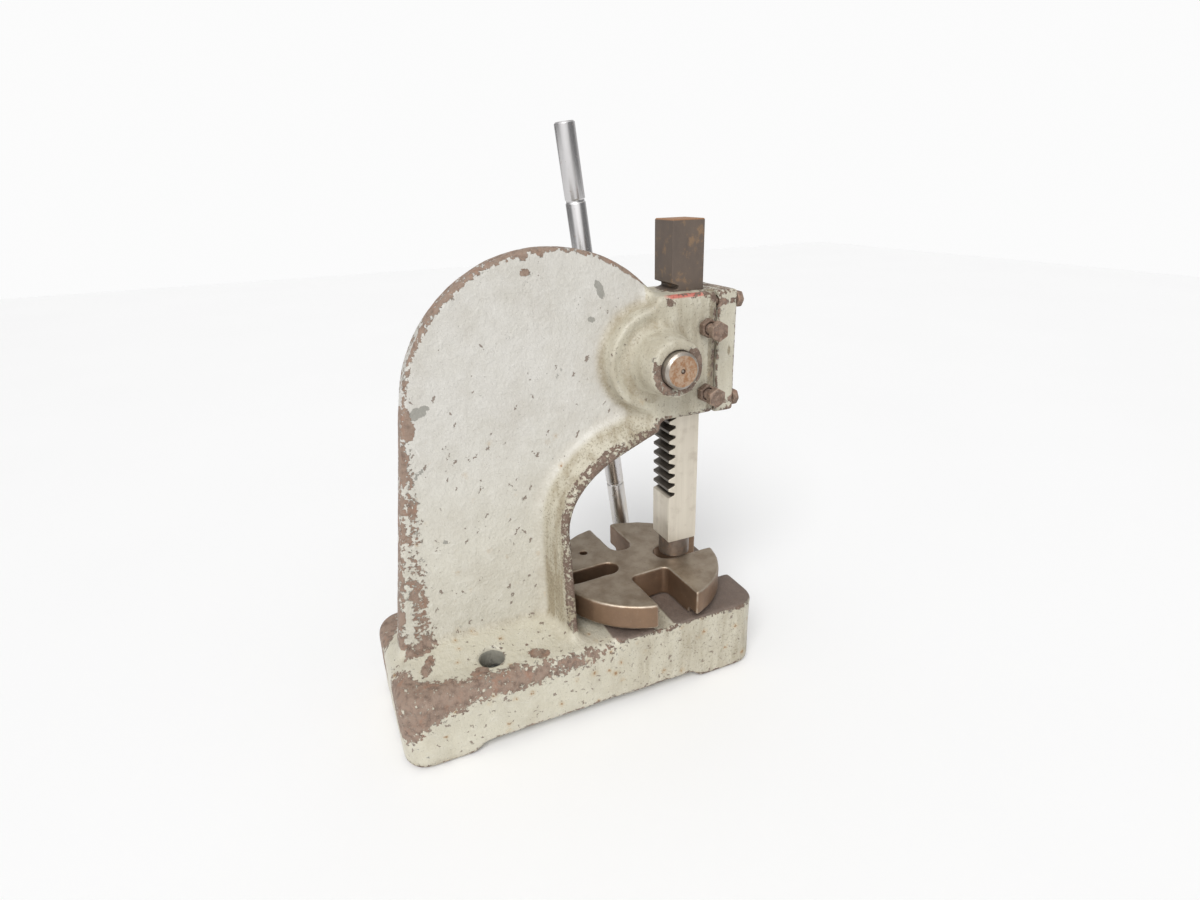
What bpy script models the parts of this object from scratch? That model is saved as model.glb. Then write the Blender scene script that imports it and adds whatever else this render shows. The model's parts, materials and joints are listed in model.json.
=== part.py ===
"""An arbor press: a cast C-frame on a forked base, a square rack ram driven by a pinion, and a turning slotted plate.

Metres, +Z up. The sizes below are measured from the ram's axis (y = 0), the middle plane of the casting (x = 0) and
the floor (z = 0). The ram and the forked end of the base face -Y, and the lever is on the +X side. An empty carries
every piece, so that the origin of the finished press is on the floor under the middle of the rear foot.
"""

import math

import bmesh
import bpy
from mathutils import Matrix, Vector

# Fits that all pieces share
SEAT_GAP = 0.0003
RUNNING_CLEARANCE = 0.00035
OVERRUN = 0.004

# How many sides round shapes have
LARGE_STEPS = 56
ROUND_STEPS = 32
SMALL_STEPS = 16
CORNER_STEPS = 5
ARC_STEPS = 24
THROAT_STEPS = 5
FLANK_STEPS = 4

# Base
BASE_WIDTH = 0.1206
BASE_FRONT = 0.0446
BASE_REAR = 0.238
TABLE_HEIGHT = 0.059
TABLE_CORNER_RADIUS = 0.018
TABLE_EDGE_RADIUS = 0.0015
LAND_DEPTH = 0.0025
FRONT_LAND_END = 0.0295
REAR_LAND_START = 0.050
REAR_LAND_END = 0.080
REAR_LAND_CORNER_RADIUS = 0.008
REAR_BODY_START = 0.055
REAR_BODY_DROP = 0.0015
REAR_BODY_INSET = 0.0002
REAR_EDGE_RADIUS = 0.010
FOOT_EDGE_RADIUS = 0.003
CROWN_RISE = 0.0045
CROWN_FOOT_INSET = 0.008
CROWN_START = 0.094
CROWN_RIDGE_START = 0.116
CROWN_RIDGE_HALF_WIDTH = 0.011
ARCH_HEIGHT = 0.0069
ARCH_START = 0.007
ARCH_END = 0.191
ARCH_SLOPE = 0.008
BASE_WALL = 0.020
CORE_HEIGHT = 0.042
CORE_START = 0.062
CORE_SIDE_WALL = 0.016
CORE_CORNER_RADIUS = 0.010
FORK_WIDTH = 0.0318
FORK_CENTRE = 0.004
BOLT_HOLE_RADIUS = 0.00875
BOLT_HOLE_X = 0.0345
BOLT_HOLE_Y = 0.1684

# Web: a thick plate with a round top and a leaning rear edge
WEB_THICKNESS = 0.016
WEB_ARC_RADIUS = 0.1033
WEB_ARC_Y = 0.1015
WEB_ARC_BELOW_PINION = 0.0232
WEB_LEAN = math.radians(7.6)
WEB_NOSE_ANGLE = math.radians(141)
WEB_EDGE_RADIUS = 0.002

# Throat flange: it rises straight, turns forward in two arcs and runs out under the head
THROAT_SPRING_BELOW_PINION = 0.114
THROAT_LOW_RADIUS = 0.040
THROAT_LOW_ANGLE = math.radians(40)
THROAT_HIGH_RADIUS = 0.075
THROAT_HIGH_ANGLE = math.radians(30)
THROAT_RUN = 0.038
FLANGE_FOOT_HALF_WIDTH = 0.043
FLANGE_TOP_HALF_WIDTH = 0.0255
FLANGE_EDGE_THICKNESS = 0.007
FLANGE_FOOT_ROOT = 0.015
FLANGE_TOP_ROOT = 0.028
FLANGE_CORNER = 0.002

# Rack gearing
GEAR_MODULE = 0.00254
PINION_TEETH = 14
PRESSURE_ANGLE = math.radians(20)
DEDENDUM_SHARE = 1.157
RACK_PLAIN_FOOT = 0.040
RACK_PLAIN_TOP = 0.042
FLANK_CLEARANCE = 0.0003
TIP_CLEARANCE = 0.0001
PINION_HEIGHT = 0.254
PINION_FACE = 0.0288

# Ram and its nose
RAM_WIDTH = 0.0254
RAM_ABOVE_PINION = 0.093
RAM_CHAMFER = 0.0008
NOSE_RADIUS = 0.0124
NOSE_HEIGHT = 0.0154
NOSE_CHAMFER = 0.0008
NOSE_SHANK_RADIUS = 0.006
NOSE_SHANK_LENGTH = 0.020

# Head: a block round the ram, with a drum and two bosses round the pinion
HEAD_WIDTH = 0.0484
HEAD_ABOVE_PINION = 0.045
HEAD_BELOW_PINION = 0.0452
HEAD_FRONT = 0.0186
HEAD_REAR = 0.030
HEAD_CORNER_RADIUS = 0.002
DRUM_RADIUS = 0.0375
DRUM_EDGE_RADIUS = 0.002
DISH_INNER_RADIUS = 0.0245
DISH_OUTER_RADIUS = 0.0335
DISH_DEPTH = 0.005
DISH_SWEEP = math.radians(88)
NEAR_BOSS_REACH = 0.0504
NEAR_BOSS_RADIUS = 0.0204
NEAR_BOSS_ROOT_RADIUS = 0.0235
FAR_BOSS_REACH = 0.066
FAR_BOSS_RADIUS = 0.030
FAR_BOSS_ROOT_RADIUS = 0.0325
BOSS_CHAMFER = 0.001
OIL_HOLE_RADIUS = 0.002
OIL_HOLE_X = 0.036

# Front cover and its bolts
COVER_THICKNESS = 0.0163
COVER_EDGE_RADIUS = 0.0012
COVER_BOLT_RADIUS = 0.003175
COVER_BOLT_ACROSS_FLATS = 0.0111
COVER_BOLT_HEAD = 0.0050
COVER_BOLT_GRIP = 0.011
COVER_BOLT_X = 0.0186
COVER_BOLT_TOP_INSET = 0.008
COVER_BOLT_BOTTOM_INSET = 0.0087

# Gib and its adjusting screws on the near side
GIB_THICKNESS = 0.0032
GIB_REACH = 0.0045
GIB_BOTTOM_INSET = 0.0137
GIB_TOP_INSET = 0.014
GIB_SCREW_RADIUS = 0.00397
GIB_SCREW_Y = -0.009
GIB_SCREW_TOP_INSET = 0.011
GIB_SCREW_BOTTOM_INSET = 0.004
GIB_SCREW_HEAD_START = 0.0372
GIB_SCREW_HEAD = 0.0055
GIB_SCREW_ACROSS_FLATS = 0.0127
LOCKNUT_THICKNESS = 0.0062
HEX_CHAMFER = 0.0008

# Pinion shaft and the screw that holds it endways
NEAR_JOURNAL_RADIUS = 0.0127
SHAFT_STAND = 0.0057
SHAFT_CHAMFER = 0.0018
CENTRE_DRILL_RADIUS = 0.0016
CENTRE_DRILL_DEPTH = 0.002
PINION_CORE_INSET = 0.0008
STUB_RADIUS = 0.011
STUB_LENGTH = 0.0138
RETAINING_GROOVE_X = 0.044
RETAINING_GROOVE_WIDTH = 0.0058
RETAINING_GROOVE_DEPTH = 0.002
RETAINING_SCREW_RADIUS = 0.00397
RETAINING_DOG_RADIUS = 0.0024
RETAINING_HEAD = 0.0055
RETAINING_ACROSS_FLATS = 0.0127

# Lever, its hub and what grips it
LEVER_X = 0.0907
LEVER_LEAN = math.radians(7.0)
LEVER_RADIUS = 0.00794
LEVER_LENGTH = 0.360
LEVER_ABOVE = 0.1615
LEVER_CHAMFER = 0.0012
LEVER_GROOVE_PLACE = 0.0565
LEVER_GROOVE_WIDTH = 0.003
LEVER_GROOVE_DEPTH = 0.0007
HUB_RADIUS = 0.021
HUB_CHAMFER = 0.0016
HUB_BEYOND_LEVER = 0.0138
HUB_PIN_RADIUS = 0.003
HUB_PIN_X = 0.0735
HUB_PIN_INSET = 0.0006
PLUG_RADIUS = 0.004
PLUG_LENGTH = 0.0040
LOCK_SCREW_RADIUS = 0.00397
LOCK_SCREW_STAND = 0.0035
LOCK_SCREW_HEAD = 0.007
LOCK_SCREW_ACROSS_FLATS = 0.0079

# Arbor plate and the pin it turns on
PLATE_RADIUS = 0.0669
PLATE_THROAT_CLEARANCE = 0.0008
PLATE_RIM = 0.020
PLATE_FOOT = 0.0049
PLATE_FOOT_RADIUS = 0.056
PLATE_EDGE = 0.0006
PLATE_Y = 0.0353
PLATE_TURN = math.radians(2.5)
PLATE_HOLE_RADIUS = 0.003
PLATE_HOLE_DEPTH = 0.012
PLATE_HOLE_CIRCLE = 0.0453
PLATE_HOLE_ANGLE = math.radians(46)
PIVOT_RADIUS = 0.0095
PIVOT_IN_BASE = 0.024
PIVOT_IN_PLATE = 0.0155

# Slots of the plate: direction, width, distance of the inner end from the centre, radius of its inner corners
PLATE_SLOTS = {
    "rear": (math.radians(90), 0.0162, 0.0175, 0.0080),
    "far": (0, 0.0188, 0.0205, 0.0085),
    "near": (math.radians(180), 0.0325, 0.0205, 0.0045),
    "front": (math.radians(270), 0.0215, 0.0185, 0.0100),
}

# Places that several pieces share
HALF_BASE = BASE_WIDTH / 2
HALF_HEAD = HEAD_WIDTH / 2
HALF_WEB = WEB_THICKNESS / 2
HALF_RAM = RAM_WIDTH / 2
RACK_PITCH = math.pi * GEAR_MODULE
PITCH_RADIUS = GEAR_MODULE * PINION_TEETH / 2
TIP_RADIUS = PITCH_RADIUS + GEAR_MODULE
DEDENDUM = GEAR_MODULE * DEDENDUM_SHARE
PINION_Y = HALF_RAM - GEAR_MODULE + PITCH_RADIUS
PINION_CENTRE = (PINION_Y, PINION_HEIGHT)
WEB_ARC_Z = PINION_HEIGHT - WEB_ARC_BELOW_PINION
THROAT_DEPTH = PLATE_Y + PLATE_RADIUS + PLATE_THROAT_CLEARANCE
THROAT_SPRING_Z = PINION_HEIGHT - THROAT_SPRING_BELOW_PINION
HEAD_TOP = PINION_HEIGHT + HEAD_ABOVE_PINION
HEAD_BOTTOM = PINION_HEIGHT - HEAD_BELOW_PINION
GIB_TOP = HEAD_TOP - GIB_TOP_INSET
GIB_BOTTOM = HEAD_BOTTOM + GIB_BOTTOM_INSET
HALF_FACE = PINION_FACE / 2
CHANNEL_HALF = HALF_RAM + SEAT_GAP
CHANNEL_REAR = HALF_RAM + RUNNING_CLEARANCE
PINION_BORE_RADIUS = TIP_RADIUS + RUNNING_CLEARANCE
NEAR_BORE_RADIUS = NEAR_JOURNAL_RADIUS + RUNNING_CLEARANCE
GIB_POCKET_WALL = CHANNEL_HALF + GIB_THICKNESS + SEAT_GAP
GIB_SCREW_HEIGHTS = {"lower": GIB_BOTTOM + GIB_SCREW_BOTTOM_INSET, "upper": GIB_TOP - GIB_SCREW_TOP_INSET}
PLATE_BOTTOM = TABLE_HEIGHT + SEAT_GAP
PLATE_TOP = PLATE_BOTTOM + PLATE_FOOT + PLATE_RIM
NOSE_BOTTOM = PLATE_TOP + SEAT_GAP
RAM_BOTTOM = NOSE_BOTTOM + NOSE_HEIGHT + SEAT_GAP
RAM_TOP = PINION_HEIGHT + RAM_ABOVE_PINION
GAPS_BELOW_PINION = int((PINION_HEIGHT - RAM_BOTTOM - RACK_PLAIN_FOOT) / RACK_PITCH)
GAPS_ABOVE_PINION = int((RAM_ABOVE_PINION - RACK_PLAIN_TOP) / RACK_PITCH)
COVER_REAR = -HEAD_FRONT - SEAT_GAP
COVER_FRONT = COVER_REAR - COVER_THICKNESS
BOLT_HEAD_Y = COVER_FRONT - SEAT_GAP
HUB_START = FAR_BOSS_REACH + SEAT_GAP
HUB_END = LEVER_X + HUB_BEYOND_LEVER
STUB_END = FAR_BOSS_REACH + STUB_LENGTH
PLUG_START = LEVER_RADIUS + SEAT_GAP
LOCK_SCREW_START = PLUG_START + PLUG_LENGTH + SEAT_GAP
ORIGIN_Y = BASE_REAR - BASE_WALL / 2
HEX_SIDES = 6
SQUARE_SIDES = 4


# Scene

def clear_scene():
    for obj in list(bpy.data.objects):
        bpy.data.objects.remove(obj, do_unlink=True)


def add_empty(name, location, parent=None, rotation=(0, 0, 0)):
    empty = bpy.data.objects.new(name, None)
    bpy.context.scene.collection.objects.link(empty)
    empty.location = location
    empty.rotation_euler = rotation
    empty.parent = parent
    return empty


def add_material(name, colour, roughness, metallic):
    material = bpy.data.materials.new(name)
    material.use_nodes = True
    shader = material.node_tree.nodes["Principled BSDF"]
    shader.inputs["Base Color"].default_value = (*colour, 1)
    shader.inputs["Roughness"].default_value = roughness
    shader.inputs["Metallic"].default_value = metallic
    return material


def add_object(name, bm, parent, location=(0, 0, 0), rotation=(0, 0, 0), material=None):
    bmesh.ops.recalc_face_normals(bm, faces=bm.faces[:])
    mesh = bpy.data.meshes.new(name)
    bm.to_mesh(mesh)
    bm.free()
    mesh.shade_smooth()
    mesh.set_sharp_from_angle(angle=math.radians(30))
    obj = bpy.data.objects.new(name, mesh)
    bpy.context.scene.collection.objects.link(obj)
    obj.parent = parent
    obj.location = location
    obj.rotation_euler = rotation
    if material:
        mesh.materials.append(material)
    return obj


def combine(target, operation, helper):
    """Joins the helper to the target or cuts it out, and keeps the helper out of the finished press."""
    helper.hide_render = True
    helper.display_type = "WIRE"
    modifier = target.modifiers.new(helper.name, "BOOLEAN")
    modifier.operation = operation
    modifier.solver = "EXACT"
    modifier.object = helper


def join(target, helper):
    combine(target, "UNION", helper)


def cut(target, helper):
    combine(target, "DIFFERENCE", helper)


# Outlines and solids

def arc(centre, radius, start, end, steps):
    """Points along an arc, both ends included. Angles run from the first axis towards the second."""
    points = []
    for step in range(steps + 1):
        angle = start + (end - start) * step / steps
        points.append((centre[0] + radius * math.cos(angle), centre[1] + radius * math.sin(angle)))
    return points


def circle(centre, radius, steps):
    return arc(centre, radius, 0, 2 * math.pi, steps)[:-1]


def rounded_rectangle(low, high, radii, steps=CORNER_STEPS):
    """A rectangle between two corners. radii are those of its corners, counterclockwise from the low corner."""
    corners = [(low[0], low[1]), (high[0], low[1]), (high[0], high[1]), (low[0], high[1])]
    inward = [(1, 1), (-1, 1), (-1, -1), (1, -1)]
    points = []
    for index, (corner, turn, radius) in enumerate(zip(corners, inward, radii)):
        if not radius:
            points.append(corner)
            continue
        centre = (corner[0] + turn[0] * radius, corner[1] + turn[1] * radius)
        start = math.pi + index * math.pi / 2
        points += arc(centre, radius, start, start + math.pi / 2, steps)
    return points


AXIS_FRAMES = {
    "X": lambda point, along: (along, point[0], point[1]),
    "Y": lambda point, along: (point[0], along, point[1]),
    "Z": lambda point, along: (point[0], point[1], along),
}


def prism(outline, axis, start, end):
    """A straight solid of this outline along one axis."""
    place = AXIS_FRAMES[axis]
    bm = bmesh.new()
    face = bm.faces.new([bm.verts.new(place(point, start)) for point in outline])
    extruded = bmesh.ops.extrude_face_region(bm, geom=[face])["geom"]
    moved = [item for item in extruded if isinstance(item, bmesh.types.BMVert)]
    bmesh.ops.translate(bm, verts=moved, vec=Vector(place((0, 0), end - start)))
    return bm


def box(low, high):
    return prism([(low[0], low[1]), (high[0], low[1]), (high[0], high[1]), (low[0], high[1])], "Z", low[2], high[2])


def turned(profile, steps):
    """A solid of revolution about +Z. profile holds (radius, height) points and starts and ends on the axis."""
    bm = bmesh.new()
    rings = []
    for radius, height in profile[1:-1]:
        rings.append([bm.verts.new((x, y, height)) for x, y in circle((0, 0), radius, steps)])
    for lower, upper in zip(rings, rings[1:]):
        for index in range(steps):
            following = (index + 1) % steps
            bm.faces.new((lower[index], lower[following], upper[following], upper[index]))
    for (_, height), ring in ((profile[0], rings[0]), (profile[-1], rings[-1])):
        if math.isclose(height, ring[0].co.z, abs_tol=SEAT_GAP / 10):
            bm.faces.new(ring)
            continue
        tip = bm.verts.new((0, 0, height))
        for index in range(steps):
            bm.faces.new((ring[index], ring[(index + 1) % steps], tip))
    return bm


def chamfered_rod(radius, start, end, chamfer, steps):
    return turned([(0, start), (radius - chamfer, start), (radius, start + chamfer),
                   (radius, end - chamfer), (radius - chamfer, end), (0, end)], steps)


def drill(radius, start, end, steps):
    return turned([(0, start), (radius, start), (radius, end), (0, end)], steps)


def polygon_head(sides, across_flats, start, end, chamfer):
    """A hexagonal or square head along +Z with its far corners turned down."""
    corner_radius = across_flats / 2 / math.cos(math.pi / sides)
    bm = prism(circle((0, 0), corner_radius, sides), "Z", start, end)
    far_edges = [edge for edge in bm.edges if all(math.isclose(vert.co.z, end) for vert in edge.verts)]
    bmesh.ops.bevel(bm, geom=far_edges, offset=chamfer, segments=1, affect="EDGES")
    return bm


def edges_at(bm, axis, place, tolerance=SEAT_GAP):
    """Edges that lie wholly in one plane across an axis."""
    return [edge for edge in bm.edges if all(abs(vert.co[axis] - place) < tolerance for vert in edge.verts)]


def bevel(bm, edges, radius, segments):
    bmesh.ops.bevel(bm, geom=edges, offset=radius, segments=segments, profile=0.5, affect="EDGES",
                    clamp_overlap=True)


ALONG_X = (0, math.pi / 2, 0)
ALONG_MINUS_X = (0, -math.pi / 2, 0)
ALONG_MINUS_Y = (math.pi / 2, 0, 0)
ALONG_PLUS_Y = (-math.pi / 2, 0, 0)


# Frame casting

def table_body():
    outline = rounded_rectangle(
        (-HALF_BASE, -BASE_FRONT), (HALF_BASE, REAR_LAND_END),
        (TABLE_CORNER_RADIUS, TABLE_CORNER_RADIUS, REAR_LAND_CORNER_RADIUS, REAR_LAND_CORNER_RADIUS))
    bm = prism(outline, "Z", 0, TABLE_HEIGHT)
    bevel(bm, edges_at(bm, 2, TABLE_HEIGHT), TABLE_EDGE_RADIUS, 2)
    bevel(bm, edges_at(bm, 2, 0), FOOT_EDGE_RADIUS, 2)
    return bm


def rear_body():
    half = HALF_BASE - REAR_BODY_INSET
    top = TABLE_HEIGHT - REAR_BODY_DROP
    outline = rounded_rectangle((-half, REAR_BODY_START), (half, BASE_REAR),
                                (0, 0, TABLE_CORNER_RADIUS, TABLE_CORNER_RADIUS))
    bm = prism(outline, "Z", 0, top)
    bevel(bm, edges_at(bm, 2, top), REAR_EDGE_RADIUS, 4)
    bevel(bm, edges_at(bm, 2, 0), FOOT_EDGE_RADIUS, 2)
    return bm


def crown():
    """The low hip that the base's top rises in, from its edges to the foot of the web."""
    top = TABLE_HEIGHT + CROWN_RISE
    low = TABLE_HEIGHT - REAR_BODY_DROP - OVERRUN
    half_low = HALF_BASE - CROWN_FOOT_INSET
    rear_low = BASE_REAR - CROWN_FOOT_INSET
    rear_top = rear_low - CROWN_FOOT_INSET
    bm = box((-half_low, CROWN_START, low), (half_low, rear_low, top))
    half_top = CROWN_RIDGE_HALF_WIDTH
    for vert in bm.verts:
        if vert.co.z > low + SEAT_GAP:
            vert.co.x = math.copysign(half_top, vert.co.x)
            vert.co.y = CROWN_RIDGE_START if vert.co.y < BASE_REAR / 2 else rear_top
    return bm


def throat_stations():
    """Places along the throat face, from the base to the head: (y, z), the direction into the casting, the length."""
    stations = []
    height = THROAT_SPRING_Z - TABLE_HEIGHT + OVERRUN
    stations.append(((THROAT_DEPTH, TABLE_HEIGHT - OVERRUN), 0, 0))
    low_centre = (THROAT_DEPTH - THROAT_LOW_RADIUS, THROAT_SPRING_Z)
    for step in range(THROAT_STEPS + 1):
        angle = THROAT_LOW_ANGLE * step / THROAT_STEPS
        place = arc(low_centre, THROAT_LOW_RADIUS, angle, angle, 1)[0]
        stations.append((place, angle, height + THROAT_LOW_RADIUS * angle))
    turn = THROAT_LOW_RADIUS - THROAT_HIGH_RADIUS
    high_centre = (low_centre[0] + turn * math.cos(THROAT_LOW_ANGLE), low_centre[1] + turn * math.sin(THROAT_LOW_ANGLE))
    reached = stations[-1][2]
    for step in range(1, THROAT_STEPS + 1):
        angle = THROAT_LOW_ANGLE + THROAT_HIGH_ANGLE * step / THROAT_STEPS
        place = arc(high_centre, THROAT_HIGH_RADIUS, angle, angle, 1)[0]
        stations.append((place, angle, reached + THROAT_HIGH_RADIUS * THROAT_HIGH_ANGLE * step / THROAT_STEPS))
    (y, z), angle, reached = stations[-1]
    stations.append(((y - THROAT_RUN * math.sin(angle), z + THROAT_RUN * math.cos(angle)), angle, reached + THROAT_RUN))
    return stations


def flange_section(half_width, root):
    """One cross-section of the flange: (x, depth behind the throat face)."""
    corner = FLANGE_CORNER
    edge = FLANGE_EDGE_THICKNESS
    right = [(half_width - corner, 0), (half_width, corner), (half_width, edge - corner),
             (half_width - corner, edge), (HALF_WEB, root)]
    return right + [(-x, depth) for x, depth in reversed(right)]


def flange():
    stations = throat_stations()
    total = stations[-1][2]
    straight = stations[1][2]
    bm = bmesh.new()
    rings = []
    for (y, z), angle, reached in stations:
        share = reached / total
        root_share = max(0, reached - straight) / (total - straight)
        half_width = FLANGE_FOOT_HALF_WIDTH + (FLANGE_TOP_HALF_WIDTH - FLANGE_FOOT_HALF_WIDTH) * share
        root = FLANGE_FOOT_ROOT + (FLANGE_TOP_ROOT - FLANGE_FOOT_ROOT) * root_share
        ring = []
        for x, depth in flange_section(half_width, root):
            ring.append(bm.verts.new((x, y + depth * math.cos(angle), z + depth * math.sin(angle))))
        rings.append(ring)
    for lower, upper in zip(rings, rings[1:]):
        for index in range(len(lower)):
            following = (index + 1) % len(lower)
            bm.faces.new((lower[index], lower[following], upper[following], upper[index]))
    bm.faces.new(rings[0])
    bm.faces.new(rings[-1])
    bmesh.ops.triangulate(bm, faces=bm.faces[:])
    return bm


def web():
    """The web's outline in (y, z): up the rear edge, over the arc, down inside the head and along the flange."""
    foot = TABLE_HEIGHT - OVERRUN
    arc_points = arc((WEB_ARC_Y, WEB_ARC_Z), WEB_ARC_RADIUS, WEB_LEAN, WEB_NOSE_ANGLE, ARC_STEPS)
    tangent_y, tangent_z = arc_points[0]
    outline = [(tangent_y + (tangent_z - foot) * math.tan(WEB_LEAN), foot)]
    outline += arc_points
    inside = FLANGE_EDGE_THICKNESS - FLANGE_CORNER
    for (y, z), angle, _ in reversed(throat_stations()):
        outline.append((y + inside * math.cos(angle), z + inside * math.sin(angle)))
    bm = prism(outline, "X", -HALF_WEB, HALF_WEB)
    rim = []
    for side in (-HALF_WEB, HALF_WEB):
        rim += [edge for edge in edges_at(bm, 0, side) if all(vert.co.y > HEAD_REAR for vert in edge.verts)
                and sum(vert.co.z for vert in edge.verts) / 2 > TABLE_HEIGHT + CROWN_RISE
                and not in_flange(edge)]
    bevel(bm, rim, WEB_EDGE_RADIUS, 2)
    return bm


def in_flange(edge):
    """Whether an edge of the web lies along the throat, inside the flange."""
    middle = (edge.verts[0].co + edge.verts[1].co) / 2
    from_arc = math.hypot(middle.y - WEB_ARC_Y, middle.z - WEB_ARC_Z)
    on_rear_edge = middle.z < WEB_ARC_Z and middle.y > WEB_ARC_Y + WEB_ARC_RADIUS / 2
    return not on_rear_edge and from_arc < WEB_ARC_RADIUS - WEB_EDGE_RADIUS


def head_outline(inset=0):
    low = (-HALF_HEAD + inset, HEAD_BOTTOM + inset)
    high = (HALF_HEAD - inset, HEAD_TOP - inset)
    return rounded_rectangle(low, high, [HEAD_CORNER_RADIUS] * 4, 3)


def drum():
    edge = DRUM_EDGE_RADIUS
    bend = edge * (1 - math.sqrt(0.5))
    half = HALF_HEAD - SEAT_GAP
    return turned([(0, -half), (DRUM_RADIUS - edge, -half), (DRUM_RADIUS - bend, -half + bend),
                   (DRUM_RADIUS, -half + edge), (DRUM_RADIUS, half - edge), (DRUM_RADIUS - bend, half - bend),
                   (DRUM_RADIUS - edge, half), (0, half)], LARGE_STEPS)


def boss(root_radius, radius, reach):
    """A tapered boss from inside the drum out to its face."""
    slope = (root_radius - radius) / (reach - HALF_HEAD)
    start = HALF_HEAD - DISH_DEPTH - OVERRUN
    return turned([(0, start), (root_radius + slope * (HALF_HEAD - start), start),
                   (radius, reach - BOSS_CHAMFER), (radius - BOSS_CHAMFER, reach), (0, reach)], LARGE_STEPS)


def dish():
    """The hollow between the drum's rim and the near boss, on the rear half only."""
    outline = arc(PINION_CENTRE, DISH_OUTER_RADIUS, -DISH_SWEEP, DISH_SWEEP, ARC_STEPS)
    outline += arc(PINION_CENTRE, DISH_INNER_RADIUS, DISH_SWEEP, -DISH_SWEEP, ARC_STEPS)
    return prism(outline, "X", -HALF_HEAD - OVERRUN, -HALF_HEAD + DISH_DEPTH)


def pinion_bore():
    """One cutter for the pinion's bore and its smaller near bearing, along +X from the middle plane."""
    step = -HALF_FACE - SEAT_GAP
    return turned([(0, -NEAR_BOSS_REACH - OVERRUN), (NEAR_BORE_RADIUS, -NEAR_BOSS_REACH - OVERRUN),
                   (NEAR_BORE_RADIUS, step), (PINION_BORE_RADIUS, step),
                   (PINION_BORE_RADIUS, FAR_BOSS_REACH + OVERRUN), (0, FAR_BOSS_REACH + OVERRUN)], LARGE_STEPS)


def fork():
    half = FORK_WIDTH / 2
    outline = [(-half, -BASE_FRONT - OVERRUN), (half, -BASE_FRONT - OVERRUN)]
    outline += arc((0, FORK_CENTRE), half, 0, math.pi, SMALL_STEPS)
    return prism(outline, "Z", -OVERRUN, TABLE_HEIGHT + OVERRUN)


def arch():
    outline = [(ARCH_START - ARCH_SLOPE, -ARCH_HEIGHT), (ARCH_START, 0), (ARCH_START + ARCH_SLOPE, ARCH_HEIGHT),
               (ARCH_END - ARCH_SLOPE, ARCH_HEIGHT), (ARCH_END, 0), (ARCH_END + ARCH_SLOPE, -ARCH_HEIGHT)]
    return prism(outline, "X", -HALF_BASE - OVERRUN, HALF_BASE + OVERRUN)


def core():
    half = HALF_BASE - CORE_SIDE_WALL
    outline = rounded_rectangle((-half, CORE_START), (half, BASE_REAR - BASE_WALL), [CORE_CORNER_RADIUS] * 4)
    return prism(outline, "Z", -OVERRUN, CORE_HEIGHT)


def cover_bolt_places():
    """Name and (x, z) of each cover bolt."""
    heights = {"upper": HEAD_TOP - COVER_BOLT_TOP_INSET, "lower": HEAD_BOTTOM + COVER_BOLT_BOTTOM_INSET}
    for level, height in heights.items():
        for side, x in (("near", -COVER_BOLT_X), ("far", COVER_BOLT_X)):
            yield f"{level}_{side}", x, height


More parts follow.
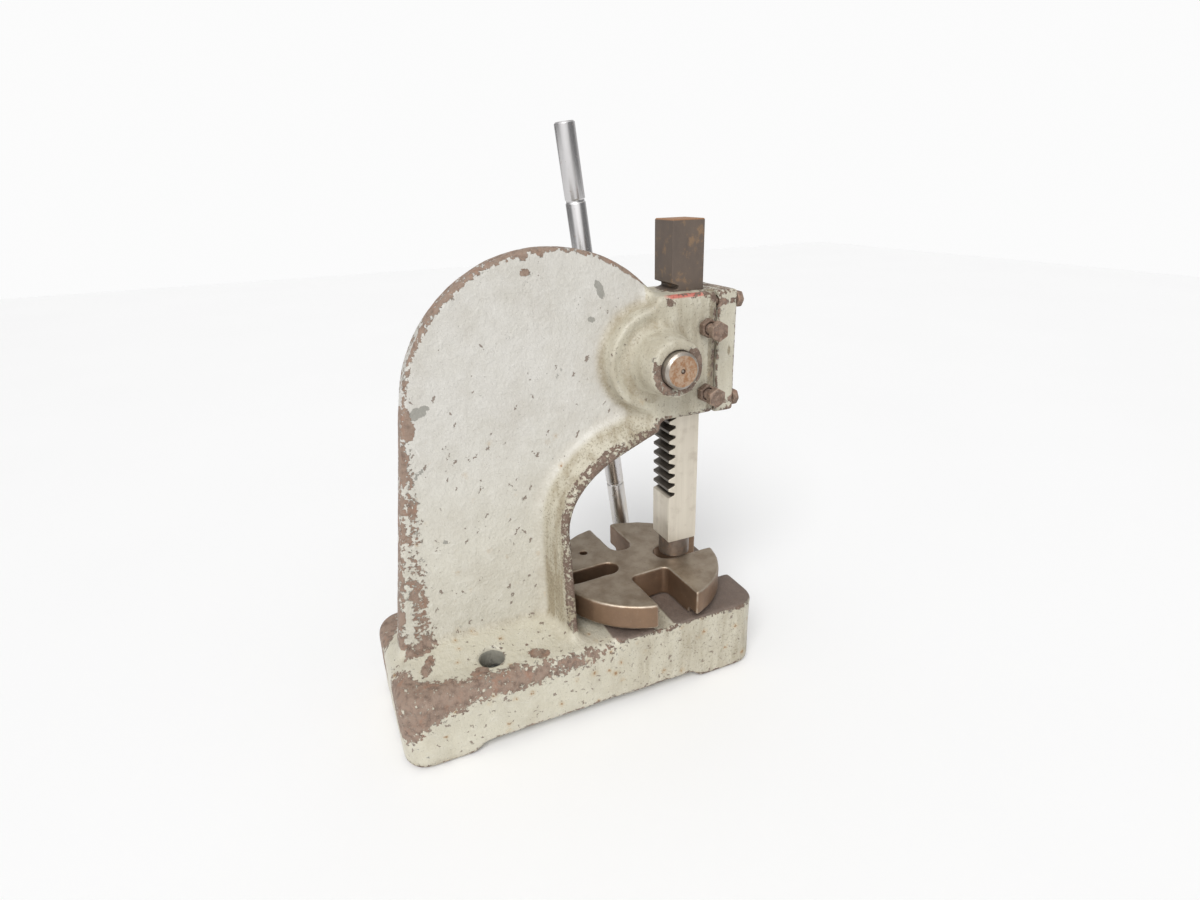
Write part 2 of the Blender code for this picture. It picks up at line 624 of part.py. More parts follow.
def make_frame(root, material):
    def helper(name, bm, location=(0, 0, 0), rotation=(0, 0, 0)):
        return add_object(name, bm, root, location, rotation)

    pinion_place = (0, *PINION_CENTRE)
    frame = add_object("frame_casting", table_body(), root, material=material)
    join(frame, helper("rear_body", rear_body()))
    join(frame, helper("crown", crown()))
    join(frame, helper("web", web()))
    join(frame, helper("flange", flange()))
    join(frame, helper("head_block", prism(head_outline(), "Y", -HEAD_FRONT, HEAD_REAR)))
    join(frame, helper("drum", drum(), pinion_place, ALONG_X))
    join(frame, helper("near_boss", boss(NEAR_BOSS_ROOT_RADIUS, NEAR_BOSS_RADIUS, NEAR_BOSS_REACH),
                       pinion_place, ALONG_MINUS_X))
    join(frame, helper("far_boss", boss(FAR_BOSS_ROOT_RADIUS, FAR_BOSS_RADIUS, FAR_BOSS_REACH),
                       pinion_place, ALONG_X))
    cut(frame, helper("land_recess", box((-HALF_BASE - OVERRUN, FRONT_LAND_END, TABLE_HEIGHT - LAND_DEPTH),
                                         (HALF_BASE + OVERRUN, REAR_LAND_START, TABLE_HEIGHT + OVERRUN))))
    cut(frame, helper("arch", arch()))
    cut(frame, helper("core", core()))
    cut(frame, helper("fork", fork()))
    cut(frame, helper("pivot_hole", drill(PIVOT_RADIUS + RUNNING_CLEARANCE, TABLE_HEIGHT - PIVOT_IN_BASE - SEAT_GAP,
                                          TABLE_HEIGHT + OVERRUN, ROUND_STEPS), (0, PLATE_Y, 0)))
    for side, x in (("near", -BOLT_HOLE_X), ("far", BOLT_HOLE_X)):
        hole = drill(BOLT_HOLE_RADIUS, -OVERRUN, TABLE_HEIGHT + CROWN_RISE + OVERRUN, ROUND_STEPS)
        cut(frame, helper(f"bolt_hole_{side}", hole, (x, BOLT_HOLE_Y, 0)))
    cut(frame, helper("channel", box((-CHANNEL_HALF, -HEAD_FRONT - OVERRUN, HEAD_BOTTOM - OVERRUN),
                                     (CHANNEL_HALF, CHANNEL_REAR, HEAD_TOP + OVERRUN))))
    cut(frame, helper("gib_pocket", box((-GIB_POCKET_WALL, -HEAD_FRONT - OVERRUN, GIB_BOTTOM),
                                        (-HALF_RAM, GIB_REACH, GIB_TOP))))
    cut(frame, helper("pinion_bore", pinion_bore(), pinion_place, ALONG_X))
    cut(frame, helper("dish", dish()))
    for level, height in GIB_SCREW_HEIGHTS.items():
        hole = drill(GIB_SCREW_RADIUS + RUNNING_CLEARANCE, CHANNEL_HALF, HALF_HEAD + OVERRUN, SMALL_STEPS)
        cut(frame, helper(f"gib_screw_hole_{level}", hole, (0, GIB_SCREW_Y, height), ALONG_MINUS_X))
    for place, x, z in cover_bolt_places():
        hole = drill(COVER_BOLT_RADIUS + RUNNING_CLEARANCE, -OVERRUN, COVER_BOLT_GRIP + SEAT_GAP, SMALL_STEPS)
        cut(frame, helper(f"cover_bolt_hole_{place}", hole, (x, -HEAD_FRONT, z), ALONG_PLUS_Y))
    hole = drill(RETAINING_SCREW_RADIUS + RUNNING_CLEARANCE, 0, FAR_BOSS_RADIUS + OVERRUN, SMALL_STEPS)
    cut(frame, helper("retaining_hole", hole, (RETAINING_GROOVE_X, *PINION_CENTRE), (math.pi, 0, 0)))
    hole = drill(OIL_HOLE_RADIUS, 0, NEAR_BOSS_ROOT_RADIUS + OVERRUN, SMALL_STEPS)
    cut(frame, helper("oil_hole", hole, (-OIL_HOLE_X, *PINION_CENTRE)))


# Front cover, gib and their screws

def make_cover(root, material):
    bm = prism(head_outline(), "Y", COVER_REAR, COVER_FRONT)
    bevel(bm, edges_at(bm, 1, COVER_FRONT), COVER_EDGE_RADIUS, 2)
    cover = add_object("front_cover", bm, root, material=material)
    tongue = box((-HALF_RAM, COVER_REAR - OVERRUN, HEAD_BOTTOM + SEAT_GAP),
                 (HALF_RAM, -HALF_RAM - SEAT_GAP, HEAD_TOP - SEAT_GAP))
    join(cover, add_object("cover_tongue", tongue, root))
    for place, x, z in cover_bolt_places():
        hole = drill(COVER_BOLT_RADIUS + RUNNING_CLEARANCE, -OVERRUN, COVER_THICKNESS + OVERRUN, SMALL_STEPS)
        cut(cover, add_object(f"cover_hole_{place}", hole, root, (x, COVER_REAR, z), ALONG_MINUS_Y))


def hex_bolt(name, root, material, location, rotation, radius, across_flats, head, shank):
    """A bolt whose shank runs along +Z from its seat and whose head is below the seat."""
    bolt = add_object(name, chamfered_rod(radius, -OVERRUN / 2, shank, HEX_CHAMFER, SMALL_STEPS), root, location,
                      rotation, material)
    cap = polygon_head(HEX_SIDES, across_flats, 0, head, HEX_CHAMFER)
    join(bolt, add_object(f"{name}_cap", cap, bolt, rotation=(math.pi, 0, 0)))


def make_cover_bolts(root, material):
    shank = SEAT_GAP + COVER_THICKNESS + SEAT_GAP + COVER_BOLT_GRIP
    for place, x, z in cover_bolt_places():
        hex_bolt(f"cover_bolt_{place}", root, material, (x, BOLT_HEAD_Y, z), ALONG_PLUS_Y, COVER_BOLT_RADIUS,
                 COVER_BOLT_ACROSS_FLATS, COVER_BOLT_HEAD, shank)


def make_gib(root, material):
    low = (-CHANNEL_HALF - GIB_THICKNESS, -HEAD_FRONT + SEAT_GAP, GIB_BOTTOM + SEAT_GAP)
    high = (-CHANNEL_HALF, GIB_REACH - SEAT_GAP, GIB_TOP - SEAT_GAP)
    add_object("ram_gib", box(low, high), root, material=material)


def make_gib_screws(root, screw_material, nut_material):
    nut_start = HALF_HEAD + SEAT_GAP
    for level, height in GIB_SCREW_HEIGHTS.items():
        hex_bolt(f"gib_screw_{level}", root, screw_material, (-GIB_SCREW_HEAD_START, GIB_SCREW_Y, height), ALONG_X,
                 GIB_SCREW_RADIUS, GIB_SCREW_ACROSS_FLATS, GIB_SCREW_HEAD, GIB_SCREW_HEAD_START - GIB_POCKET_WALL)
        nut = add_object(f"gib_locknut_{level}",
                         polygon_head(HEX_SIDES, GIB_SCREW_ACROSS_FLATS, nut_start, nut_start + LOCKNUT_THICKNESS,
                                      HEX_CHAMFER),
                         root, (0, GIB_SCREW_Y, height), ALONG_MINUS_X, nut_material)
        hole = drill(GIB_SCREW_RADIUS + RUNNING_CLEARANCE, HALF_HEAD - OVERRUN,
                     nut_start + LOCKNUT_THICKNESS + OVERRUN, SMALL_STEPS)
        cut(nut, add_object(f"gib_locknut_{level}_thread", hole, root, (0, GIB_SCREW_Y, height), ALONG_MINUS_X))


# Ram and nose

def rack_outline():
    """The ram's side view in (y, z), with the rack's gaps in its rear face."""
    slope = math.tan(PRESSURE_ANGLE)
    mouth = RACK_PITCH / 4 + GEAR_MODULE * slope
    floor = RACK_PITCH / 4 - DEDENDUM * slope
    root = HALF_RAM - GEAR_MODULE - DEDENDUM
    chamfer = RAM_CHAMFER
    outline = [(HALF_RAM - chamfer, RAM_BOTTOM), (HALF_RAM, RAM_BOTTOM + chamfer)]
    for gap in range(-GAPS_BELOW_PINION, GAPS_ABOVE_PINION + 1):
        middle = PINION_HEIGHT + gap * RACK_PITCH
        outline += [(HALF_RAM, middle - mouth), (root, middle - floor), (root, middle + floor),
                    (HALF_RAM, middle + mouth)]
    outline += [(HALF_RAM, RAM_TOP - chamfer), (HALF_RAM - chamfer, RAM_TOP),
                (chamfer - HALF_RAM, RAM_TOP), (-HALF_RAM, RAM_TOP - chamfer),
                (-HALF_RAM, RAM_BOTTOM + chamfer), (chamfer - HALF_RAM, RAM_BOTTOM)]
    return outline


def make_ram(root, material, nose_material):
    ram = add_object("ram", prism(rack_outline(), "X", -HALF_RAM, HALF_RAM), root, material=material)
    depth = NOSE_SHANK_LENGTH + SEAT_GAP
    bore = drill(NOSE_SHANK_RADIUS + RUNNING_CLEARANCE, RAM_BOTTOM - OVERRUN, RAM_BOTTOM + depth, ROUND_STEPS)
    cut(ram, add_object("shank_bore", bore, root))
    shoulder = NOSE_BOTTOM + NOSE_HEIGHT
    shank_top = RAM_BOTTOM + NOSE_SHANK_LENGTH
    profile = [(0, NOSE_BOTTOM), (NOSE_RADIUS - NOSE_CHAMFER, NOSE_BOTTOM), (NOSE_RADIUS, NOSE_BOTTOM + NOSE_CHAMFER),
               (NOSE_RADIUS, shoulder), (NOSE_SHANK_RADIUS, shoulder),
               (NOSE_SHANK_RADIUS, shank_top - NOSE_CHAMFER), (NOSE_SHANK_RADIUS - NOSE_CHAMFER, shank_top),
               (0, shank_top)]
    add_object("ram_nose", turned(profile, ROUND_STEPS), root, material=nose_material)


# Pinion shaft

def involute(angle):
    return math.tan(angle) - angle


def tooth_flank():
    """(radius, half angle of the tooth) from the root to the tip, thinned by the flank clearance."""
    base = PITCH_RADIUS * math.cos(PRESSURE_ANGLE)
    tip = TIP_RADIUS - TIP_CLEARANCE
    root = PITCH_RADIUS - DEDENDUM
    half_at_pitch = math.pi / 2 / PINION_TEETH - FLANK_CLEARANCE / math.cos(PRESSURE_ANGLE) / PITCH_RADIUS
    half_at_base = half_at_pitch + involute(PRESSURE_ANGLE)
    points = [(root, half_at_base)]
    for step in range(FLANK_STEPS + 1):
        radius = base + (tip - base) * step / FLANK_STEPS
        points.append((radius, half_at_base - involute(math.acos(min(1, base / radius)))))
    return points


def pinion_outline():
    """The pinion's teeth in (y, z) about its axis. At rest one tooth points at the rack, to -Y."""
    flank = tooth_flank()
    outline = []
    for tooth in range(PINION_TEETH):
        middle = math.pi + tooth * 2 * math.pi / PINION_TEETH
        for radius, half in flank:
            outline.append((radius * math.cos(middle - half), radius * math.sin(middle - half)))
        for radius, half in reversed(flank):
            outline.append((radius * math.cos(middle + half), radius * math.sin(middle + half)))
    return outline


def shaft_profile():
    """(radius, x) of the turned shaft, from its near end to the stub that carries the hub."""
    end = -NEAR_BOSS_REACH - SHAFT_STAND
    core_radius = PITCH_RADIUS - DEDENDUM - PINION_CORE_INSET
    groove_low = RETAINING_GROOVE_X - RETAINING_GROOVE_WIDTH / 2
    groove_high = RETAINING_GROOVE_X + RETAINING_GROOVE_WIDTH / 2
    groove_radius = TIP_RADIUS - RETAINING_GROOVE_DEPTH
    shoulder = FAR_BOSS_REACH - SEAT_GAP
    return [(0, end + CENTRE_DRILL_DEPTH), (CENTRE_DRILL_RADIUS, end), (NEAR_JOURNAL_RADIUS - SHAFT_CHAMFER, end),
            (NEAR_JOURNAL_RADIUS, end + SHAFT_CHAMFER), (NEAR_JOURNAL_RADIUS, -HALF_FACE),
            (core_radius, -HALF_FACE + SEAT_GAP), (core_radius, HALF_FACE), (TIP_RADIUS, HALF_FACE),
            (TIP_RADIUS, groove_low), (groove_radius, groove_low), (groove_radius, groove_high),
            (TIP_RADIUS, groove_high), (TIP_RADIUS, shoulder), (STUB_RADIUS, shoulder), (STUB_RADIUS, STUB_END),
            (0, STUB_END)]


def make_pinion_shaft(root, material):
    shaft = add_object("pinion_shaft", turned(shaft_profile(), LARGE_STEPS), root, (0, *PINION_CENTRE), ALONG_X,
                       material)
    teeth = add_object("pinion_teeth", prism(pinion_outline(), "X", -HALF_FACE, HALF_FACE + OVERRUN), root,
                       (0, *PINION_CENTRE))
    join(shaft, teeth)
    pin_hole = drill(HUB_PIN_RADIUS + RUNNING_CLEARANCE, -HUB_RADIUS, HUB_RADIUS, SMALL_STEPS)
    cut(shaft, add_object("stub_pin_hole", pin_hole, root, (HUB_PIN_X, *PINION_CENTRE),
                          (-math.pi / 2 - LEVER_LEAN, 0, 0)))


def make_retaining_screw(root, material):
    dog_tip = TIP_RADIUS - RETAINING_GROOVE_DEPTH + SEAT_GAP
    dog_root = PINION_BORE_RADIUS + SEAT_GAP
    seat = FAR_BOSS_ROOT_RADIUS
    profile = [(0, dog_tip), (RETAINING_DOG_RADIUS, dog_tip), (RETAINING_DOG_RADIUS, dog_root),
               (RETAINING_SCREW_RADIUS, dog_root), (RETAINING_SCREW_RADIUS, seat + RETAINING_HEAD / 2),
               (0, seat + RETAINING_HEAD / 2)]
    place = (RETAINING_GROOVE_X, *PINION_CENTRE)
    screw = add_object("pinion_retaining_screw", turned(profile, SMALL_STEPS), root, place, (math.pi, 0, 0), material)
    head = polygon_head(HEX_SIDES, RETAINING_ACROSS_FLATS, seat, seat + RETAINING_HEAD, HEX_CHAMFER)
    join(screw, add_object("retaining_screw_head", head, root, place, (math.pi, 0, 0)))


# Lever and hub. Their local +Z runs up the lever and their local +X runs out along the pinion's axis.

def make_lever_parts(root, materials):
    axis = add_empty("lever_axis", (0, *PINION_CENTRE), root, (-LEVER_LEAN, 0, 0))
    hub_profile = [(0, HUB_START), (HUB_RADIUS - HUB_CHAMFER, HUB_START), (HUB_RADIUS, HUB_START + HUB_CHAMFER),
                   (HUB_RADIUS, HUB_END - HUB_CHAMFER), (HUB_RADIUS - HUB_CHAMFER, HUB_END), (0, HUB_END)]
    hub = add_object("lever_hub", turned(hub_profile, ROUND_STEPS), axis, rotation=ALONG_X, material=materials["hub"])
    bore = drill(STUB_RADIUS + RUNNING_CLEARANCE, HUB_START - OVERRUN, STUB_END + SEAT_GAP, ROUND_STEPS)
    cut(hub, add_object("hub_bore", bore, axis, rotation=ALONG_X))
    lever_hole = drill(LEVER_RADIUS + RUNNING_CLEARANCE, -HUB_RADIUS - OVERRUN, HUB_RADIUS + OVERRUN, ROUND_STEPS)
    cut(hub, add_object("hub_lever_hole", lever_hole, axis, (LEVER_X, 0, 0)))
    pin_hole = drill(HUB_PIN_RADIUS + RUNNING_CLEARANCE, -HUB_RADIUS - OVERRUN, HUB_RADIUS + OVERRUN, SMALL_STEPS)
    cut(hub, add_object("hub_pin_hole", pin_hole, axis, (HUB_PIN_X, 0, 0), ALONG_PLUS_Y))
    screw_hole = drill(LOCK_SCREW_RADIUS + RUNNING_CLEARANCE, 0, HUB_RADIUS + OVERRUN, SMALL_STEPS)
    cut(hub, add_object("hub_screw_hole", screw_hole, axis, (LEVER_X, 0, 0), ALONG_PLUS_Y))

    reach = HUB_RADIUS - HUB_PIN_INSET
    pin = chamfered_rod(HUB_PIN_RADIUS, -reach, reach, HUB_PIN_INSET, SMALL_STEPS)
    add_object("hub_pin", pin, axis, (HUB_PIN_X, 0, 0), ALONG_PLUS_Y, materials["pin"])

    low = LEVER_ABOVE - LEVER_LENGTH
    high = LEVER_ABOVE
    profile = [(0, low), (LEVER_RADIUS - LEVER_CHAMFER, low), (LEVER_RADIUS, low + LEVER_CHAMFER)]
    half_groove = LEVER_GROOVE_WIDTH / 2
    groove_radius = LEVER_RADIUS - LEVER_GROOVE_DEPTH
    for middle in (low + LEVER_GROOVE_PLACE, high - LEVER_GROOVE_PLACE):
        profile += [(LEVER_RADIUS, middle - half_groove), (groove_radius, middle - half_groove + LEVER_GROOVE_DEPTH),
                    (groove_radius, middle + half_groove - LEVER_GROOVE_DEPTH), (LEVER_RADIUS, middle + half_groove)]
    profile += [(LEVER_RADIUS, high - LEVER_CHAMFER), (LEVER_RADIUS - LEVER_CHAMFER, high), (0, high)]
    add_object("lever", turned(profile, ROUND_STEPS), axis, (LEVER_X, 0, 0), material=materials["lever"])

    plug = drill(PLUG_RADIUS, PLUG_START, PLUG_START + PLUG_LENGTH, SMALL_STEPS)
    add_object("lever_friction_plug", plug, axis, (LEVER_X, 0, 0), ALONG_PLUS_Y, materials["plug"])

    head_start = HUB_RADIUS + LOCK_SCREW_STAND
    body = chamfered_rod(LOCK_SCREW_RADIUS, LOCK_SCREW_START, head_start + LOCK_SCREW_HEAD / 2, HEX_CHAMFER,
                         SMALL_STEPS)
    screw = add_object("lever_lock_screw", body, axis, (LEVER_X, 0, 0), ALONG_PLUS_Y, materials["screw"])
    head = polygon_head(SQUARE_SIDES, LOCK_SCREW_ACROSS_FLATS, head_start, head_start + LOCK_SCREW_HEAD, HEX_CHAMFER)
    join(screw, add_object("lock_screw_head", head, axis, (LEVER_X, 0, 0), ALONG_PLUS_Y))


# Arbor plate

def slot_cutter(width, inner, corner):
    """A slot that runs out along +X from its inner end, past the rim."""
    outline = rounded_rectangle((inner, -width / 2), (PLATE_RADIUS + OVERRUN, width / 2), (corner, 0, 0, corner))
    return prism(outline, "Z", PLATE_BOTTOM - OVERRUN, PLATE_TOP + OVERRUN)


def make_plate(root, plate_material, pin_material):
    axis = add_empty("plate_axis", (0, PLATE_Y, 0), root, (0, 0, PLATE_TURN))
    shoulder = PLATE_BOTTOM + PLATE_FOOT
    edge = PLATE_EDGE
    profile = [(0, PLATE_BOTTOM), (PLATE_FOOT_RADIUS, PLATE_BOTTOM), (PLATE_FOOT_RADIUS, shoulder),
               (PLATE_RADIUS - edge, shoulder), (PLATE_RADIUS, shoulder + edge), (PLATE_RADIUS, PLATE_TOP - edge),
               (PLATE_RADIUS - edge, PLATE_TOP), (0, PLATE_TOP)]
    plate = add_object("arbor_plate", turned(profile, LARGE_STEPS), axis, material=plate_material)
    for name, (direction, width, inner, corner) in PLATE_SLOTS.items():
        cut(plate, add_object(f"{name}_slot", slot_cutter(width, inner, corner), axis, rotation=(0, 0, direction)))
    bore = drill(PIVOT_RADIUS + RUNNING_CLEARANCE, PLATE_BOTTOM - OVERRUN, PLATE_BOTTOM + PIVOT_IN_PLATE, ROUND_STEPS)
    cut(plate, add_object("pivot_bore", bore, axis))
    hole = drill(PLATE_HOLE_RADIUS, PLATE_TOP - PLATE_HOLE_DEPTH, PLATE_TOP + OVERRUN, SMALL_STEPS)
    place = Matrix.Rotation(PLATE_HOLE_ANGLE, 3, "Z") @ Vector((PLATE_HOLE_CIRCLE, 0, 0))
    cut(plate, add_object("plate_hole", hole, axis, place))
    pin = chamfered_rod(PIVOT_RADIUS, TABLE_HEIGHT - PIVOT_IN_BASE, PLATE_BOTTOM + PIVOT_IN_PLATE - SEAT_GAP,
                        HEX_CHAMFER, ROUND_STEPS)
    add_object("plate_pivot_pin", pin, root, (0, PLATE_Y, 0), material=pin_material)


def main():
    clear_scene()
    root = add_empty("press_root", (0, -ORIGIN_Y, 0))
    paint = add_material("worn_paint", (0.60, 0.58, 0.50), 0.55, 0)
    cover_paint = add_material("cover_paint", (0.60, 0.58, 0.47), 0.55, 0)
    rusty_steel = add_material("rusty_steel", (0.26, 0.13, 0.08), 0.7, 0.3)
    dark_steel = add_material("dark_steel", (0.10, 0.08, 0.07), 0.5, 0.7)
    ram_steel = add_material("ram_steel", (0.52, 0.49, 0.44), 0.35, 0.9)
    plate_steel = add_material("plate_steel", (0.22, 0.19, 0.15), 0.4, 0.8)
    chrome = add_material("lever_chrome", (0.70, 0.68, 0.62), 0.2, 1)
    brass = add_material("plug_brass", (0.60, 0.42, 0.16), 0.4, 1)
    make_frame(root, paint)
    make_cover(root, cover_paint)
    make_cover_bolts(root, rusty_steel)
    make_gib(root, dark_steel)
    make_gib_screws(root, rusty_steel, dark_steel)
    make_ram(root, ram_steel, dark_steel)
    make_pinion_shaft(root, rusty_steel)
    make_retaining_screw(root, rusty_steel)
    make_lever_parts(root, {"hub": dark_steel, "pin": dark_steel, "lever": chrome, "plug": brass,
                            "screw": rusty_steel})
    make_plate(root, plate_steel, dark_steel)


main()
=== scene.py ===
"""The looks of an old bench arbor press: worn paint, rusty screws, handled steel and a chromed lever.

Laid out as an add-on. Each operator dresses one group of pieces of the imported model. main() calls them all.
"""

import json
import math

import bmesh
import bpy
import numpy as np
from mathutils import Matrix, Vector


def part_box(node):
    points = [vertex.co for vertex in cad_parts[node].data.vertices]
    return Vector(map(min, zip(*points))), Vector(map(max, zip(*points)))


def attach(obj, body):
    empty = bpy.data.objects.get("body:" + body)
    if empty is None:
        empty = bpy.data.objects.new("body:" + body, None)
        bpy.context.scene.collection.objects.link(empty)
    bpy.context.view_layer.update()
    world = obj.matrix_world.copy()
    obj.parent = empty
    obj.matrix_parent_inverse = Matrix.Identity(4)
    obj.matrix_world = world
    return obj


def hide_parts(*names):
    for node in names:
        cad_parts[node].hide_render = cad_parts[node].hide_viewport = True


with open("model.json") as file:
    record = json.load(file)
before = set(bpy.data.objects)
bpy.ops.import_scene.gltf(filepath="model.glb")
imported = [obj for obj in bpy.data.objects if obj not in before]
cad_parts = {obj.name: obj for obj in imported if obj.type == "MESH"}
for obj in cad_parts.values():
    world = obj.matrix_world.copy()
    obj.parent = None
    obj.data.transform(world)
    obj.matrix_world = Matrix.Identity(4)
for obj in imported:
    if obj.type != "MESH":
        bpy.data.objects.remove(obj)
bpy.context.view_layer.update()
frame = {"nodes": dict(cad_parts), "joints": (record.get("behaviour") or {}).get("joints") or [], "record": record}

import openvdb
from bpy.props import FloatProperty, FloatVectorProperty, PointerProperty
from mathutils import Matrix, Vector

bl_info = {
    "name": "Arbor press finish",
    "version": (1, 0, 0),
    "blender": (4, 5, 0),
    "location": "View3D > Sidebar > Press",
    "description": "Dresses an arbor press in worn paint, rust, handled steel and chrome",
    "category": "Object",
}

# Places in the model, in metres, read from the frame
RAM_LOW, RAM_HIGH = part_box("ram")
PLATE_LOW, PLATE_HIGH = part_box("arbor_plate")
CAST_LOW, CAST_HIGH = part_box("frame_casting")
COVER_LOW, COVER_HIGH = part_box("front_cover")
SHAFT_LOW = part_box("pinion_shaft")[0]
RAM_AXIS_Y = (RAM_LOW[1] + RAM_HIGH[1]) / 2
PINION_Y, PINION_Z = next(joint["pos_m"][1:] for joint in frame["joints"] if joint["name"] == "pinion_turn")
HEAD_TOP = COVER_HIGH[2]
HEAD_BOTTOM = COVER_LOW[2]
HALF_BASE = -CAST_LOW[0]
TABLE_TOP = PLATE_LOW[2] - 0.0003

# Sizes of the casting that its finish follows. A depth is measured from the ram's axis to the rear
WEB_TOP_RADIUS = 0.1033
WEB_TOP_FROM_REAR = 0.1365
WEB_LEAN = math.radians(7.6)
LAND_REAR_DEPTH = 0.081
BOLT_HOLE_SIDE = 0.0345
BOLT_HOLE_DEPTH = 0.1684
BOLT_HOLE_RADIUS = 0.0094
BOSS_END_X = -0.0490
BOSS_END_RADIUS = 0.0214
DRUM_RADIUS = 0.047

# The casting's machined hollows: where their walls lie, and how far the model's own shape is kept
CHANNEL_HALF_WIDTH, CHANNEL_ROOM_HALF_WIDTH = 0.0178, 0.0185
CHANNEL_DEPTH, CHANNEL_ROOM_DEPTH = 0.0136, 0.0145
FAR_BORE_RADIUS, FAR_BORE_ROOM_RADIUS = 0.0209, 0.0215
NEAR_BORE_RADIUS, NEAR_BORE_ROOM_RADIUS = 0.0132, 0.0145
BORE_STEP_X, BORE_STEP_MARGIN = -0.0150, 0.0005

# The ram's plain foot below its teeth, and the thread of the gib screws
RACK_PLAIN_FOOT = 0.040
SCREW_HEAD_HEIGHT = 0.0058
SCREW_RADIUS = 0.00397
THREAD_PITCH = 0.00141
THREAD_DEPTH = 0.0006


def srgb(red, green, blue):
    """A colour read off in 0 to 255, as Blender's linear values."""
    parts = (part / 255 for part in (red, green, blue))
    return tuple(part / 12.92 if part <= 0.04045 else ((part + 0.055) / 1.055) ** 2.4 for part in parts)


def colour_property(name, description, red, green, blue):
    """A colour that a user can change. Its default is read off in 0 to 255."""
    return FloatVectorProperty(name=name, description=description, subtype="COLOR",
                               default=srgb(red, green, blue), min=0, max=1)


def length_property(name, description, default, low, high):
    """A length that a user can change, in metres."""
    return FloatProperty(name=name, description=description, unit="LENGTH", default=default,
                         min=low, max=high)


# What a user would change

class PressFinish(bpy.types.PropertyGroup):
    """Colours and sizes of the finish."""

    grey_paint: colour_property("Grey paint", "Top coat on the web", 207, 204, 197)
    cream_paint: colour_property("Cream paint", "Older coat on the base and head", 206, 201, 183)
    # The dirt colour is also laid on as painted shade, through the grime and shade mask.
    dirt: colour_property("Dirt", "Oily dirt in the corners", 134, 118, 90)
    brown_rust: colour_property("Brown rust", "Bare iron where paint is gone", 148, 127, 112)
    red_rust: colour_property("Red rust", "Fresh rust", 156, 108, 82)
    dark_rust: colour_property("Dark rust", "Old rust with oil in it", 94, 76, 64)
    bare_steel: colour_property("Bare steel", "Ground steel of the ram", 226, 218, 202)
    plate_iron: colour_property("Plate iron", "Machined iron of the plate", 166, 152, 134)
    chrome: colour_property("Chrome", "Plating of the lever", 206, 204, 204)
    undercoat: colour_property("Undercoat", "Grey coat that shows round the chips", 138, 136, 128)
    red_mark: colour_property("Red mark", "Smear of red paint on the head", 196, 84, 72)
    brass: colour_property("Brass", "Friction plug", 196, 160, 92)
    casting_cell: length_property("Casting cell", "Cell size of the casting's surface", 0.0013, 0.0005, 0.004)
    casting_fillet: length_property("Casting fillet", "Fillets in the casting's corners", 0.005, 0.001, 0.008)
    plate_cell: length_property("Plate cell", "Cell size of the plate's surface", 0.0008, 0.0004, 0.003)
    screw_cell: length_property("Screw cell", "Cell size of the rusty screws' surface", 0.0005, 0.0002, 0.002)
    thread_cell: length_property("Thread cell", "Cell size of the threaded screws", 0.0003, 0.0002, 0.001)
    edge_softness: length_property("Edge softness", "Bevel on machined edges", 0.0004, 0, 0.001)


class PressStage(bpy.types.PropertyGroup):
    """Camera, lights and floor."""

    camera_place: FloatVectorProperty(name="Camera place", description="Where the camera stands",
                                      subtype="TRANSLATION", default=(-0.4303, 0.0252, 0.3709))
    camera_azimuth: FloatProperty(name="Camera azimuth", description="Turn of the view about +Z",
                                  subtype="ANGLE", default=math.radians(246.35))
    camera_elevation: FloatProperty(name="Camera elevation", description="Height above the horizon",
                                    subtype="ANGLE", default=math.radians(21.52))
    camera_roll: FloatProperty(name="Camera roll", description="Tilt of the picture", subtype="ANGLE",
                               default=math.radians(-1.44))
    camera_lens: FloatProperty(name="Camera lens", description="Focal length in millimetres",
                               default=20.32, min=1)
    key_strength: FloatProperty(name="Key light", description="Strength of the soft light from the rear left",
                                default=1.95)
    key_direction: FloatVectorProperty(name="Key direction", description="Where the soft light comes from",
                                       subtype="DIRECTION", default=(-0.68, 0.5, 0.85))
    key_spread: FloatProperty(name="Key spread", description="How wide the soft light is", subtype="ANGLE",
                              default=math.radians(34))
    sky_strength: FloatProperty(name="Sky", description="Strength of the white surroundings", default=0.58)
    backdrop: FloatProperty(name="Backdrop", description="How white the camera sees the surroundings",
                            subtype="FACTOR", default=0.97, min=0, max=1)
    floor_size: FloatProperty(name="Floor size", description="Side of the floor", unit="LENGTH", default=6)


# Node trees

